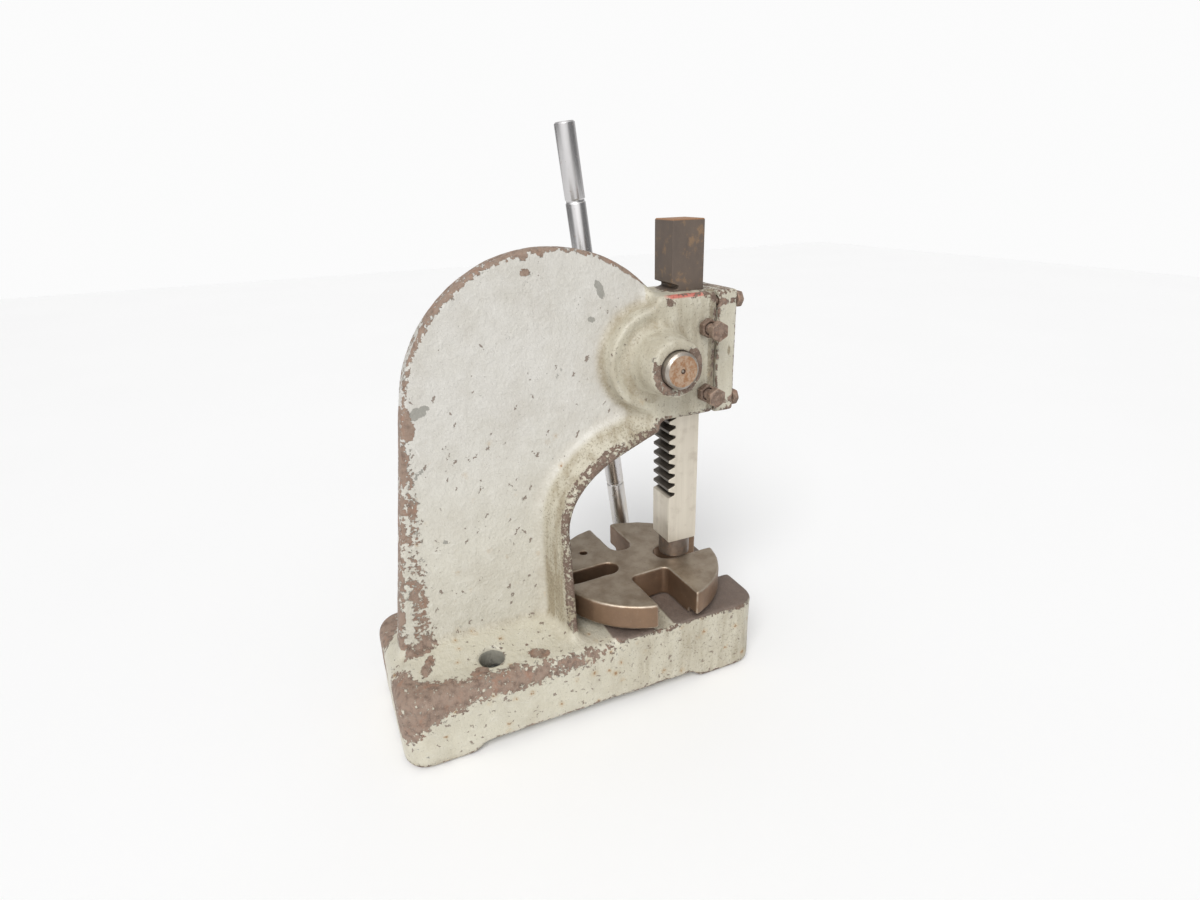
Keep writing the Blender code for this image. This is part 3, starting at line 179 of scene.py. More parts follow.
class Graph:
    """Short ways to add and join the nodes of one tree."""

    def __init__(self, tree):
        self.tree = tree

    def add(self, kind, inputs=None, **settings):
        """A new node with its settings, and its inputs joined or set."""
        node = self.tree.nodes.new(kind)
        for name, value in settings.items():
            setattr(node, name, value)
        for name, value in (inputs or {}).items():
            self.give(node.inputs[name], value)
        return node

    def give(self, socket, value):
        """Joins a socket to another, or sets its value."""
        if isinstance(value, bpy.types.NodeSocket):
            self.tree.links.new(value, socket)
        elif isinstance(value, (tuple, list)) and socket.type == "RGBA":
            socket.default_value = (*value[:3], 1)
        else:
            socket.default_value = value

    def math(self, operation, first, second=0.0, clamp=False, third=0.0):
        """One sum of two or three values. third is for the operations that take three."""
        inputs = {0: first, 1: second, 2: third}
        return self.add("ShaderNodeMath", inputs, operation=operation, use_clamp=clamp).outputs[0]

    def times(self, first, second):
        return self.math("MULTIPLY", first, second)

    def step(self, value, low, high):
        """0 below low, 1 above high and smooth between. high may be below low."""
        node = self.add("ShaderNodeMapRange", {"Value": value, "From Min": low, "From Max": high},
                        interpolation_type="SMOOTHSTEP")
        return node.outputs["Result"]

    def stretched(self, place, stretch, lean=0.0):
        """The place turned about X by the lean, then squeezed along the axes."""
        if lean:
            turned = {"Vector": place, "Angle": lean}
            place = self.add("ShaderNodeVectorRotate", turned, rotation_type="X_AXIS").outputs[0]
        return self.add("ShaderNodeVectorMath", {0: place, 1: stretch}, operation="MULTIPLY").outputs[0]

    def noise(self, place, scale, detail=3.0, roughness=0.55, stretch=None, lean=0.0):
        """Noise in 0 to 1 at a place. stretch squeezes it along the axes."""
        if stretch:
            place = self.stretched(place, stretch, lean)
        node = self.add("ShaderNodeTexNoise", {"Vector": place, "Scale": scale, "Detail": detail,
                                               "Roughness": roughness})
        return node.outputs["Fac"]

    def blend(self, share, first, second, mode="MIX"):
        """Colours mixed by a share."""
        node = self.add("ShaderNodeMix", data_type="RGBA", blend_type=mode, clamp_factor=True)
        self.give(node.inputs["Factor"], share)
        self.give(node.inputs[6], first)
        self.give(node.inputs[7], second)
        return node.outputs[2]

    def between(self, share, first, second):
        """Values mixed by a share."""
        node = self.add("ShaderNodeMix", data_type="FLOAT", clamp_factor=True)
        self.give(node.inputs["Factor"], share)
        self.give(node.inputs[2], first)
        self.give(node.inputs[3], second)
        return node.outputs[0]

    def attribute(self, name):
        """A named value of the mesh's points, 0 where the mesh has none."""
        return self.add("ShaderNodeAttribute", attribute_name=name).outputs["Fac"]

    def effect(self, name, inputs):
        """The outputs of a shared node group, placed with these inputs."""
        node = self.add("ShaderNodeGroup", node_tree=group_tree(name))
        for socket, value in inputs.items():
            self.give(node.inputs[socket], value)
        return node.outputs


def new_group(name, inputs, outputs):
    """An empty node group with named sockets. Returns its tree, its graph, its inputs and its end."""
    tree = bpy.data.node_groups.new(name, "ShaderNodeTree")
    for socket, kind in inputs.items():
        tree.interface.new_socket(socket, in_out="INPUT", socket_type=kind)
    for socket, kind in outputs.items():
        tree.interface.new_socket(socket, in_out="OUTPUT", socket_type=kind)
    graph = Graph(tree)
    start = graph.add("NodeGroupInput").outputs
    end = graph.add("NodeGroupOutput").inputs
    return tree, graph, start, end


FLOAT = "NodeSocketFloat"
COLOUR = "NodeSocketColor"
VECTOR = "NodeSocketVector"


def rust_group():
    """Rust of three colours in patches, with its grain as height."""
    tree, graph, start, end = new_group(
        "Rust", {"Place": VECTOR, "Brown": COLOUR, "Red": COLOUR, "Dark": COLOUR, "Darkness": FLOAT},
        {"Color": COLOUR, "Roughness": FLOAT, "Height": FLOAT})
    place = start["Place"]
    patches = graph.times(graph.step(graph.noise(place, 120, 5, 0.6), 0.5, 0.7), 0.4)
    mottles = graph.noise(place, 520, 4, 0.65)
    dark = graph.step(graph.math("ADD", graph.noise(place, 260, 5, 0.68), start["Darkness"]), 0.48, 0.68)
    colour = graph.blend(patches, start["Brown"], start["Red"])
    colour = graph.blend(graph.times(dark, 0.8), colour, start["Dark"])
    pale = graph.times(graph.step(mottles, 0.5, 0.68), 0.42)
    colour = graph.blend(pale, colour, srgb(180, 164, 150))
    graph.give(end["Color"], colour)
    graph.give(end["Roughness"], graph.between(mottles, 0.55, 0.85))
    graph.give(end["Height"], graph.math("ADD", mottles, graph.noise(place, 1500, 2, 0.5)))
    return tree


def chip_group():
    """Where paint has come off: ragged patches that grow with the wear, with the undercoat round them."""
    tree, graph, start, end = new_group(
        "Chips", {"Place": VECTOR, "Wear": FLOAT}, {"Mask": FLOAT, "Undercoat": FLOAT})
    place = start["Place"]
    broad = graph.noise(place, 90, 6, 0.72)
    fine = graph.noise(place, 360, 4, 0.62)
    ragged = graph.math("ADD", graph.times(broad, 0.62), graph.times(fine, 0.38))
    gain = graph.between(graph.step(start["Wear"], 0.0, 0.3), 1.4, 3.0)
    ragged = graph.times(graph.math("SUBTRACT", ragged, 0.5), gain)
    level = graph.math("MULTIPLY_ADD", start["Wear"], 0.56, third=graph.math("ADD", ragged, 0.47))
    patches = graph.step(level, 0.735, 0.755)
    where = graph.step(graph.noise(place, 50, 2, 0.5), 0.5, 0.56)
    layer = graph.times(graph.step(level, 0.67, 0.69), where)
    graph.give(end["Mask"], patches)
    graph.give(end["Undercoat"], graph.math("SUBTRACT", layer, patches, True))
    return tree


def fleck_group():
    """Small slanted nicks, and round spots of rust with a stain round them, denser with the amount."""
    tree, graph, start, end = new_group(
        "Flecks", {"Place": VECTOR, "Amount": FLOAT}, {"Nicks": FLOAT, "Spots": FLOAT, "Stain": FLOAT})
    ripples = {"Vector": start["Place"], "Scale": 520, "Detail": 3}
    bend = graph.add("ShaderNodeTexNoise", ripples).outputs["Color"]
    bend = graph.add("ShaderNodeVectorMath", {0: bend, "Scale": 0.0046}, operation="SCALE").outputs[0]
    place = graph.add("ShaderNodeVectorMath", {0: start["Place"], 1: bend}, operation="ADD").outputs[0]
    nicks = 0.0
    for lean, scale, width in ((0.6, 210, 0.13), (-0.5, 170, 0.11), (1.3, 260, 0.14)):
        cells = graph.add("ShaderNodeTexVoronoi", {"Vector": graph.stretched(place, (1, 1, 0.36), lean),
                                                   "Scale": scale}).outputs
        chosen = graph.add("ShaderNodeSeparateColor", {"Color": cells["Color"]}).outputs
        size = graph.times(chosen["Green"], width)
        near = graph.math("LESS_THAN", graph.math("SUBTRACT", cells["Distance"], size), 0.07)
        kept = graph.math("LESS_THAN", chosen["Red"], graph.times(start["Amount"], 0.3))
        nicks = graph.math("MAXIMUM", graph.times(near, kept), nicks)
    cells = graph.add("ShaderNodeTexVoronoi", {"Vector": place, "Scale": 105}).outputs
    chosen = graph.add("ShaderNodeSeparateColor", {"Color": cells["Color"]}).outputs
    kept = graph.math("LESS_THAN", chosen["Red"], graph.times(start["Amount"], 0.24))
    size = graph.math("MULTIPLY_ADD", chosen["Green"], 0.1, third=0.03)
    near = graph.math("SUBTRACT", cells["Distance"], size)
    spots = graph.times(kept, graph.step(near, 0.06, 0.02))
    stain = graph.times(kept, graph.step(near, 0.3, 0.02))
    graph.give(end["Nicks"], nicks)
    graph.give(end["Spots"], spots)
    graph.give(end["Stain"], stain)
    return tree


def grain_group():
    """The skin of sand-cast iron under brushed paint, with faint scratches."""
    tree, graph, start, end = new_group("Cast skin", {"Place": VECTOR, "Coarseness": FLOAT},
                                        {"Height": FLOAT, "Scratches": FLOAT})
    place = start["Place"]
    peel = graph.noise(place, 420, 3, 0.5)
    sand = graph.noise(place, 1100, 2, 0.5)
    lumps = graph.noise(place, 120, 3, 0.55)
    height = graph.math("ADD", graph.times(peel, start["Coarseness"]), graph.times(sand, 0.35))
    graph.give(end["Height"], graph.math("ADD", height, graph.times(lumps, 1.1)))
    scratches = 0.0
    for lean in (0.35, -0.75, 1.2):
        line = graph.noise(place, 700, 2, 0.5, (1, 1, 0.045), lean)
        scratches = graph.math("MAXIMUM", graph.step(line, 0.68, 0.74), scratches)
    broken = graph.step(graph.noise(place, 45, 2, 0.5), 0.5, 0.62)
    graph.give(end["Scratches"], graph.times(scratches, broken))
    return tree


def stain_group():
    """Oily dirt: soft clouds, runs down the sides, thick in corners, and fine specks. Its grime and shade input
    also lays painted shade.
    """
    tree, graph, start, end = new_group(
        "Stains", {"Place": VECTOR, "Corner": FLOAT, "Grime": FLOAT}, {"Mask": FLOAT, "Specks": FLOAT})
    place = start["Place"]
    soft = graph.step(graph.noise(place, 38, 5, 0.6), 0.42, 0.8)
    runs = graph.step(graph.noise(place, 110, 4, 0.62, (1, 1, 0.16)), 0.36, 0.7)
    grains = graph.step(graph.noise(place, 520, 5, 0.7), 0.36, 0.6)
    corner = graph.times(start["Corner"], graph.math("ADD", graph.times(grains, 0.6), 0.4))
    grime_and_shade = graph.times(start["Grime"], graph.math("ADD", graph.times(runs, 0.65), 0.3))
    mask = graph.math("ADD", graph.times(soft, 0.22), corner)
    graph.give(end["Mask"], graph.math("ADD", mask, grime_and_shade, True))
    speckle = graph.noise(place, 640, 3, 0.6)
    reach = graph.math("ADD", graph.times(start["Grime"], 0.13), speckle)
    graph.give(end["Specks"], graph.step(reach, 0.685, 0.72))
    return tree


def brush_group():
    """Fine lines of grinding or turning along one direction, as stretched noise."""
    tree, graph, start, end = new_group(
        "Tool lines", {"Place": VECTOR, "Stretch": VECTOR}, {"Height": FLOAT, "Streaks": FLOAT})
    place = graph.add("ShaderNodeVectorMath", {0: start["Place"], 1: start["Stretch"]}, operation="MULTIPLY")
    place = place.outputs[0]
    fine = graph.noise(place, 900, 3, 0.6)
    wide = graph.noise(place, 220, 3, 0.6)
    graph.give(end["Height"], graph.math("ADD", fine, graph.times(wide, 0.5)))
    graph.give(end["Streaks"], wide)
    return tree


GROUP_MAKERS = {"Rust": rust_group, "Chips": chip_group, "Flecks": fleck_group, "Cast skin": grain_group,
                "Stains": stain_group, "Tool lines": brush_group}


def group_tree(name):
    """The group of that name, made when it is first asked for."""
    return bpy.data.node_groups.get(name) or GROUP_MAKERS[name]()


def start_material(name, **fixed):
    """A material, its graph, its shader and the place on the object. fixed sets sockets to plain values."""
    material = bpy.data.materials.new(name)
    material.use_nodes = True
    graph = Graph(material.node_tree)
    shader = material.node_tree.nodes["Principled BSDF"]
    for socket, value in fixed.items():
        shader.inputs[socket.replace("_", " ")].default_value = value
    place = graph.add("ShaderNodeTexCoord").outputs["Object"]
    return material, graph, shader, place


def add_bump(graph, shader, height, distance, strength=1.0):
    """Bends the shading by a height, which stands for this many metres."""
    bump = graph.add("ShaderNodeBump", {"Height": height, "Distance": distance, "Strength": strength})
    graph.give(shader.inputs["Normal"], bump.outputs["Normal"])


def rust_of(graph, finish, place, darkness=0.0):
    """The rust effect in the finish's colours."""
    return graph.effect("Rust", {"Place": place, "Brown": finish.brown_rust[:], "Red": finish.red_rust[:],
                                 "Dark": finish.dark_rust[:], "Darkness": darkness})


# Materials

def worn_paint(finish, name):
    """Old paint on iron. It reads where it is worn, dirty, bare and grey, and where painted shade darkens it, from
    the piece's attributes.
    """
    material, graph, shader, place = start_material(name)
    corner, grime_and_shade, bare = (graph.attribute(mask) for mask in ("corner_dirt", "grime_and_shade", "bare_iron"))
    chips = graph.effect("Chips", {"Place": place, "Wear": graph.attribute("wear")})
    flecks = graph.effect("Flecks", {"Place": place, "Amount": graph.attribute("nicked")})
    stains = graph.effect("Stains", {"Place": place, "Corner": corner, "Grime": grime_and_shade})
    skin = graph.effect("Cast skin", {"Place": place, "Coarseness": 0.7})
    # Rust is darker where the grime and shade mask is high.
    rust = rust_of(graph, finish, place, graph.times(grime_and_shade, 0.22))

    coat = graph.blend(graph.attribute("grey_coat"), finish.cream_paint[:], finish.grey_paint[:])
    clouds = graph.step(graph.noise(place, 55, 4, 0.6), 0.35, 0.7)
    raised = graph.step(skin["Height"], 0.95, 1.5)
    torn = graph.noise(place, 240, 4, 0.68)
    torn = graph.math("MULTIPLY_ADD", torn, 2.2, third=graph.attribute("undercoat"))
    layer = graph.math("MAXIMUM", chips["Undercoat"], graph.step(torn, 1.62, 1.72))
    # The dirt colour follows the stains mask, which also carries painted shade from the grime and shade mask.
    for mask, share, colour in (
            (clouds, 0.2, srgb(180, 175, 160)), (raised, 0.16, srgb(236, 234, 228)),
            (skin["Scratches"], 0.35, srgb(232, 230, 224)), (stains["Mask"], 0.72, finish.dirt[:]),
            (stains["Specks"], 0.5, srgb(120, 108, 88)), (flecks["Stain"], 0.3, srgb(176, 142, 92)),
            (flecks["Nicks"], 0.85, srgb(124, 108, 96)), (flecks["Spots"], 0.85, srgb(146, 112, 76)),
            (layer, 0.8, finish.undercoat[:]), (graph.attribute("red_smear"), 0.8, finish.red_mark[:])):
        coat = graph.blend(graph.times(mask, share), coat, colour)
    gone = graph.math("MAXIMUM", chips["Mask"], bare)
    colour = graph.blend(gone, coat, rust["Color"])
    iron = graph.blend(graph.noise(place, 150, 4, 0.6), srgb(110, 97, 89), srgb(134, 120, 110))
    graph.give(shader.inputs["Base Color"], graph.blend(graph.times(bare, 0.85), colour, iron))
    dull = graph.between(graph.noise(place, 160, 3, 0.6), 0.22, 0.42)
    dull = graph.between(stains["Mask"], dull, 0.62)
    graph.give(shader.inputs["Roughness"], graph.between(gone, dull, rust["Roughness"]))
    graph.give(shader.inputs["Metallic"], graph.times(bare, 0.35))

    damage = graph.math("ADD", gone, graph.times(flecks["Nicks"], 0.6), True)
    height = graph.math("SUBTRACT", skin["Height"], graph.times(damage, 1.1))
    height = graph.math("ADD", height, graph.times(rust["Height"], graph.times(gone, 0.3)))
    add_bump(graph, shader, height, 0.0008)
    return material


def rusty_steel(finish, name, darkness=0.0):
    """Screws and other small steel with a rust film."""
    material, graph, shader, place = start_material(name, Metallic=0.15)
    rust = rust_of(graph, finish, place, darkness)
    rubbed = graph.times(graph.attribute("wear"), graph.noise(place, 300, 3, 0.6))
    colour = graph.blend(graph.times(rubbed, 0.7), rust["Color"], srgb(186, 160, 140))
    graph.give(shader.inputs["Base Color"], colour)
    graph.give(shader.inputs["Roughness"], rust["Roughness"])
    add_bump(graph, shader, rust["Height"], 0.0002)
    return material


def dark_steel(finish, name):
    """Oiled dark steel with a little rust."""
    material, graph, shader, place = start_material(name, Metallic=0.75)
    rust = rust_of(graph, finish, place, 0.05)
    patches = graph.step(graph.noise(place, 190, 4, 0.6), 0.5, 0.72)
    steel = graph.blend(graph.noise(place, 260, 3, 0.6), srgb(104, 94, 86), srgb(142, 130, 120))
    graph.give(shader.inputs["Base Color"], graph.blend(patches, steel, rust["Color"]))
    graph.give(shader.inputs["Roughness"], graph.between(patches, 0.38, 0.7))
    add_bump(graph, shader, rust["Height"], 0.0001)
    return material


def ram_steel(finish, name):
    """Ground steel, bright where it slides and brown at the top where it is never wiped. The rack's tooth gaps get
    painted shade.
    """
    material, graph, shader, place = start_material(name)
    axes = graph.add("ShaderNodeSeparateXYZ", {"Vector": place}).outputs
    height = axes["Z"]
    ragged = graph.times(graph.noise(place, 60, 4, 0.6, (1, 1, 0.3)), 0.03)
    brown = graph.step(graph.math("ADD", height, ragged), HEAD_TOP - 0.02, HEAD_TOP + 0.016)
    lines = graph.effect("Tool lines", {"Place": place, "Stretch": (1, 1, 0.04)})
    rust = rust_of(graph, finish, place, 0.10)
    stain = graph.step(graph.noise(place, 90, 5, 0.62), 0.5, 0.75)
    steel = graph.blend(lines["Streaks"], finish.bare_steel[:], srgb(192, 183, 168))
    steel = graph.blend(graph.times(stain, 0.3), steel, srgb(140, 122, 104))
    dark = graph.blend(graph.noise(place, 120, 4, 0.6, (1, 1, 0.4)), srgb(86, 76, 70), srgb(112, 98, 86))
    orange = graph.step(graph.noise(place, 130, 5, 0.66), 0.52, 0.68)
    dark = graph.blend(graph.times(orange, 0.6), dark, srgb(148, 118, 86))
    top = graph.step(height, RAM_HIGH[2] - 0.0012, RAM_HIGH[2] - 0.0004)
    dark = graph.blend(graph.times(top, 0.75), dark, srgb(168, 122, 84))
    # Painted shade: the gaps between the rack's teeth, inside the side faces, near the rear and above the plain
    # foot, are made almost black.
    inside = graph.step(graph.math("ABSOLUTE", axes["X"]), RAM_HIGH[0] - 0.0004, RAM_HIGH[0] - 0.0010)
    behind = graph.step(axes["Y"], RAM_HIGH[1] - 0.0075, RAM_HIGH[1] - 0.0060)
    rack_foot = RAM_LOW[2] + RACK_PLAIN_FOOT
    toothed = graph.step(height, rack_foot - 0.0004, rack_foot + 0.0004)
    rack_gap_shade = graph.times(graph.times(inside, behind), toothed)
    steel = graph.blend(graph.times(rack_gap_shade, 0.9), steel, srgb(62, 54, 48))
    graph.give(shader.inputs["Base Color"], graph.blend(brown, steel, dark))
    graph.give(shader.inputs["Metallic"], graph.between(brown, 0.5, 0.1))
    graph.give(shader.inputs["Roughness"], graph.between(brown, 0.32, 0.55))
    bump = graph.math("ADD", lines["Height"], graph.times(rust["Height"], brown))
    add_bump(graph, shader, bump, 0.00006)
    return material


def plate_iron(finish, name):
    """Machined iron with a brown patina and bronze on its rim. Its edges are lighter: rubbed iron, and a painted
    highlight.
    """
    material, graph, shader, place = start_material(name)
    lines = graph.effect("Tool lines", {"Place": place, "Stretch": (1, 0.12, 1)})
    mottle = graph.noise(place, 70, 5, 0.62)
    rim = graph.attribute("rim_band")
    top = graph.blend(graph.step(mottle, 0.35, 0.7), finish.plate_iron[:], srgb(140, 124, 106))
    specks = graph.step(graph.noise(place, 480, 3, 0.6), 0.64, 0.7)
    top = graph.blend(graph.times(specks, 0.5), top, srgb(86, 70, 56))
    bronze = graph.blend(mottle, srgb(146, 118, 94), srgb(110, 90, 74))
    colour = graph.blend(rim, top, bronze)
    # The edges are made lighter: rubbed iron, and a painted highlight along them.
    rubbed = graph.step(graph.noise(place, 90, 4, 0.6), 0.3, 0.65)
    bright = graph.times(graph.attribute("wear"), graph.times(rubbed, 0.5))
    colour = graph.blend(bright, colour, srgb(206, 196, 180))
    graph.give(shader.inputs["Base Color"], colour)
    graph.give(shader.inputs["Metallic"], graph.between(specks, 0.7, 0.2))
    graph.give(shader.inputs["Roughness"], graph.between(mottle, 0.34, 0.5))
    add_bump(graph, shader, graph.math("ADD", lines["Height"], mottle), 0.00008)
    return material


def lever_chrome(finish, name):
    """Old chrome, yellowed and scratched, with small rust spots near the ends."""
    material, graph, shader, place = start_material(name)
    lines = graph.effect("Tool lines", {"Place": place, "Stretch": (1, 1, 0.05)})
    tint = graph.step(graph.noise(place, 30, 4, 0.6, (1, 1, 0.4)), 0.4, 0.75)
    colour = graph.blend(graph.times(tint, 0.6), finish.chrome[:], srgb(204, 192, 164))
    spots = graph.step(graph.noise(place, 330, 4, 0.62), 0.66, 0.72)
    rust = rust_of(graph, finish, place)
    colour = graph.blend(spots, colour, rust["Color"])
    graph.give(shader.inputs["Base Color"], colour)
    graph.give(shader.inputs["Metallic"], graph.between(spots, 1.0, 0.2))
    graph.give(shader.inputs["Roughness"], graph.between(spots, graph.between(tint, 0.26, 0.38), 0.7))
    add_bump(graph, shader, lines["Height"], 0.00003)
    return material


def shaft_steel(finish, name):
    """The pinion's steel: bright on its end's rubbed edge, rusty on the end face, and painted shade in the centre
    hole.
    """
    material, graph, shader, place = start_material(name)
    rust = rust_of(graph, finish, place)
    axes = graph.add("ShaderNodeSeparateXYZ", {"Vector": place}).outputs
    across = graph.math("SUBTRACT", axes["Y"], PINION_Y)
    upward = graph.math("SUBTRACT", axes["Z"], PINION_Z)
    squares = graph.math("ADD", graph.times(across, across), graph.times(upward, upward))
    radius = graph.math("SQRT", squares)
    end_face = graph.step(axes["X"], SHAFT_LOW[0] + 0.0012, SHAFT_LOW[0] + 0.0006)
    face = graph.times(end_face, graph.step(radius, 0.0111, 0.0104))
    steel = graph.blend(graph.noise(place, 240, 4, 0.6), srgb(196, 190, 180), srgb(128, 118, 108))
    film = graph.step(graph.noise(place, 210, 4, 0.6), 0.56, 0.7)
    rusty = graph.math("MAXIMUM", face, graph.times(film, 0.7))
    grain = graph.step(graph.noise(place, 420, 4, 0.6), 0.4, 0.62)
    ochre = graph.blend(grain, srgb(150, 112, 80), srgb(172, 148, 126))
    colour = graph.blend(rusty, steel, graph.blend(face, rust["Color"], ochre))
    # Painted shade: the centre hole in the shaft's end is coloured dark brown.
    hole = graph.times(end_face, graph.step(radius, 0.0020, 0.0014))
    graph.give(shader.inputs["Base Color"], graph.blend(hole, colour, srgb(66, 46, 34)))
    graph.give(shader.inputs["Metallic"], graph.between(rusty, 0.85, 0.1))
    graph.give(shader.inputs["Roughness"], graph.between(rusty, 0.3, 0.75))
    add_bump(graph, shader, rust["Height"], 0.00015)
    return material


def plug_brass(finish, name):
    """Dull brass."""
    material, graph, shader, place = start_material(name, Metallic=1.0)
    dull = graph.noise(place, 300, 3, 0.6)
    graph.give(shader.inputs["Base Color"], graph.blend(dull, finish.brass[:], srgb(150, 118, 66)))
    graph.give(shader.inputs["Roughness"], graph.between(dull, 0.3, 0.5))
    return material


# Surfaces made from a level set of a CAD solid

def smooth_step(value, low, high):
    """0 at low, 1 at high and smooth between. high may be below low."""
    share = np.clip((value - low) / (high - low), 0, 1)
    return share * share * (3 - 2 * share)


def mesh_arrays(mesh):
    """Points and triangles of a mesh, as arrays."""
    mesh.calc_loop_triangles()
    points = np.empty(len(mesh.vertices) * 3, np.float32)
    mesh.vertices.foreach_get("co", points)
    triangles = np.empty(len(mesh.loop_triangles) * 3, np.int32)
    mesh.loop_triangles.foreach_get("vertices", triangles)
    return points.reshape(-1, 3), triangles.reshape(-1, 3).astype(np.uint32)


class Field:
    """Signed distances on a regular grid of cells, negative inside the solid."""

    def __init__(self, low, cell, values):
        self.low = np.asarray(low)
        self.cell = cell
        self.values = values

    def axes(self):
        """The three coordinates of the cells, shaped to broadcast against the values."""
        lines = [(np.arange(size) + start) * self.cell for start, size in zip(self.low, self.values.shape)]
        return np.meshgrid(*[line.astype(np.float32) for line in lines], indexing="ij", sparse=True)

    def at(self, points):
        """The values at points, by linear interpolation."""
        place = points / self.cell - self.low
        base = np.clip(np.floor(place).astype(int), 0, np.array(self.values.shape) - 2)
        share = np.clip(place - base, 0, 1)
        total = np.zeros(len(points))
        for corner in np.ndindex(2, 2, 2):
            weight = np.prod(np.where(corner, share, 1 - share), axis=1)
            total += weight * self.values[tuple((base + corner).T)]
        return total

    def blurred(self, radius):
        """The same field, blurred by two box filters of about this radius."""
        half = max(1, round(radius / self.cell / 2))
        values = self.values
        for _ in range(2):
            for axis in range(3):
                values = box_filter(values, half, axis)
        return Field(self.low, self.cell, values)

    def surface(self):
        """Points and quads of the surface where the distance is zero."""
        grid = openvdb.FloatGrid(float(self.values.max()))
        grid.copyFromArray(self.values.astype(np.float32), ijk=tuple(int(start) for start in self.low))
        grid.transform = openvdb.createLinearTransform(voxelSize=self.cell)
        return grid.convertToQuads(0.0)


def box_filter(values, half, axis):
    """A running mean over 2 * half + 1 cells along an axis."""
    width = 2 * half + 1
    pads = [(0, 0)] * 3
    pads[axis] = (half + 1, half)
    sums = np.cumsum(np.pad(values, pads, mode="edge"), axis=axis, dtype=np.float64)
    upper = np.take(sums, range(width, sums.shape[axis]), axis=axis)
    lower = np.take(sums, range(0, sums.shape[axis] - width), axis=axis)
    return ((upper - lower) / width).astype(np.float32)


def level_set(points, faces, cell, reach, sides):
    """A level set of a closed surface whose distances are true out to the reach."""
    return openvdb.FloatGrid.createLevelSetFromPolygons(
        np.ascontiguousarray(points, np.float32), **{sides: np.ascontiguousarray(faces, np.uint32)},
        transform=openvdb.createLinearTransform(voxelSize=cell), halfWidth=reach / cell)


def as_field(grid, low_m, high_m, cell, margin=6):
    """The distances of a level set inside a box, with some cells round it."""
    low = np.floor(np.array(low_m) / cell).astype(int) - margin
    high = np.ceil(np.array(high_m) / cell).astype(int) + margin
    values = np.zeros(high - low, np.float32)
    grid.copyToArray(values, ijk=tuple(int(start) for start in low))
    return Field(low, cell, values)


def field_of_node(node, cell, reach):
    """A CAD node's level set, and its distances."""
    points, triangles = mesh_arrays(frame["nodes"][node].data)
    grid = level_set(points, triangles, cell, reach, "triangles")
    return grid, as_field(grid, points.min(axis=0), points.max(axis=0), cell)


def filled_corners(grid, field, radius, reach):
    """The field with every inner corner filled by a fillet: grown by the radius, then shrunk back."""
    points, quads = grid.convertToQuads(radius)
    grown = level_set(points, quads, field.cell, reach + radius, "quads")
    values = np.zeros(field.values.shape, np.float32)
    grown.copyToArray(values, ijk=tuple(int(start) for start in field.low))
    return Field(field.low, field.cell, values + radius)


def wavy(field, length, amount, seed):
    """A smooth random field from 0 to the amount, with bumps about this long."""
    shape = [max(4, math.ceil(size * field.cell / length) + 3) for size in field.values.shape]
    coarse = Field(np.floor(field.low * field.cell / length).astype(int) - 1, length,
                   np.random.default_rng(seed).random(shape).astype(np.float32))
    x, y, z = field.axes()
    values = coarse.values
    for axis, line in enumerate((x.ravel(), y.ravel(), z.ravel())):
        place = np.clip(line / length - coarse.low[axis], 0, shape[axis] - 1.001)
        base = place.astype(int)
        share = place - base
        share = share * share * (3 - 2 * share)
        spread = [1] * 3
        spread[axis] = -1
        share = share.reshape(spread)
        values = np.take(values, base, axis=axis) * (1 - share) + np.take(values, base + 1, axis=axis) * share
    return values.astype(np.float32) * amount


def mesh_object(name, points, quads, masks):
    """A smooth-shaded object of these quads, with each mask as a named attribute of its points."""
    mesh = bpy.data.meshes.new(name)
    mesh.vertices.add(len(points))
    mesh.vertices.foreach_set("co", np.ascontiguousarray(points, np.float32).ravel())
    mesh.loops.add(quads.size)
    mesh.loops.foreach_set("vertex_index", np.ascontiguousarray(quads[:, ::-1], np.int32).ravel())
    mesh.polygons.add(len(quads))
    mesh.polygons.foreach_set("loop_start", np.arange(0, quads.size, 4, dtype=np.int32))
    mesh.update(calc_edges=True)
    mesh.validate()
    mesh.shade_smooth()
    obj = bpy.data.objects.new(name, mesh)
    bpy.context.scene.collection.objects.link(obj)
    for mask, values in masks.items():
        set_mask(obj, mask, values)
    return obj


def set_mask(obj, name, values):
    """Gives the object's points a named value each, for its material."""
    attributes = obj.data.attributes
    attribute = attributes.get(name) or attributes.new(name, "FLOAT", "POINT")
    attribute.data.foreach_set("value", np.ascontiguousarray(values, np.float32))


def point_values(obj, name):
    """The values of one of the object's masks."""
    values = np.empty(len(obj.data.vertices), np.float32)
    obj.data.attributes[name].data.foreach_get("value", values)
    return values


def point_rows(obj):
    """The x, y and z of the object's points."""
    points = np.empty(len(obj.data.vertices) * 3, np.float32)
    obj.data.vertices.foreach_get("co", points)
    return points.astype(float).reshape(-1, 3).T


def edge_masks(field, points, radius):
    """Two masks for points on the surface, from how the solid curves: outer edges, and inner corners."""
    bend = (field.blurred(radius).at(points) - field.at(points)) / radius
    return smooth_step(bend, 0.09, 0.2), smooth_step(-bend, 0.03, 0.11)


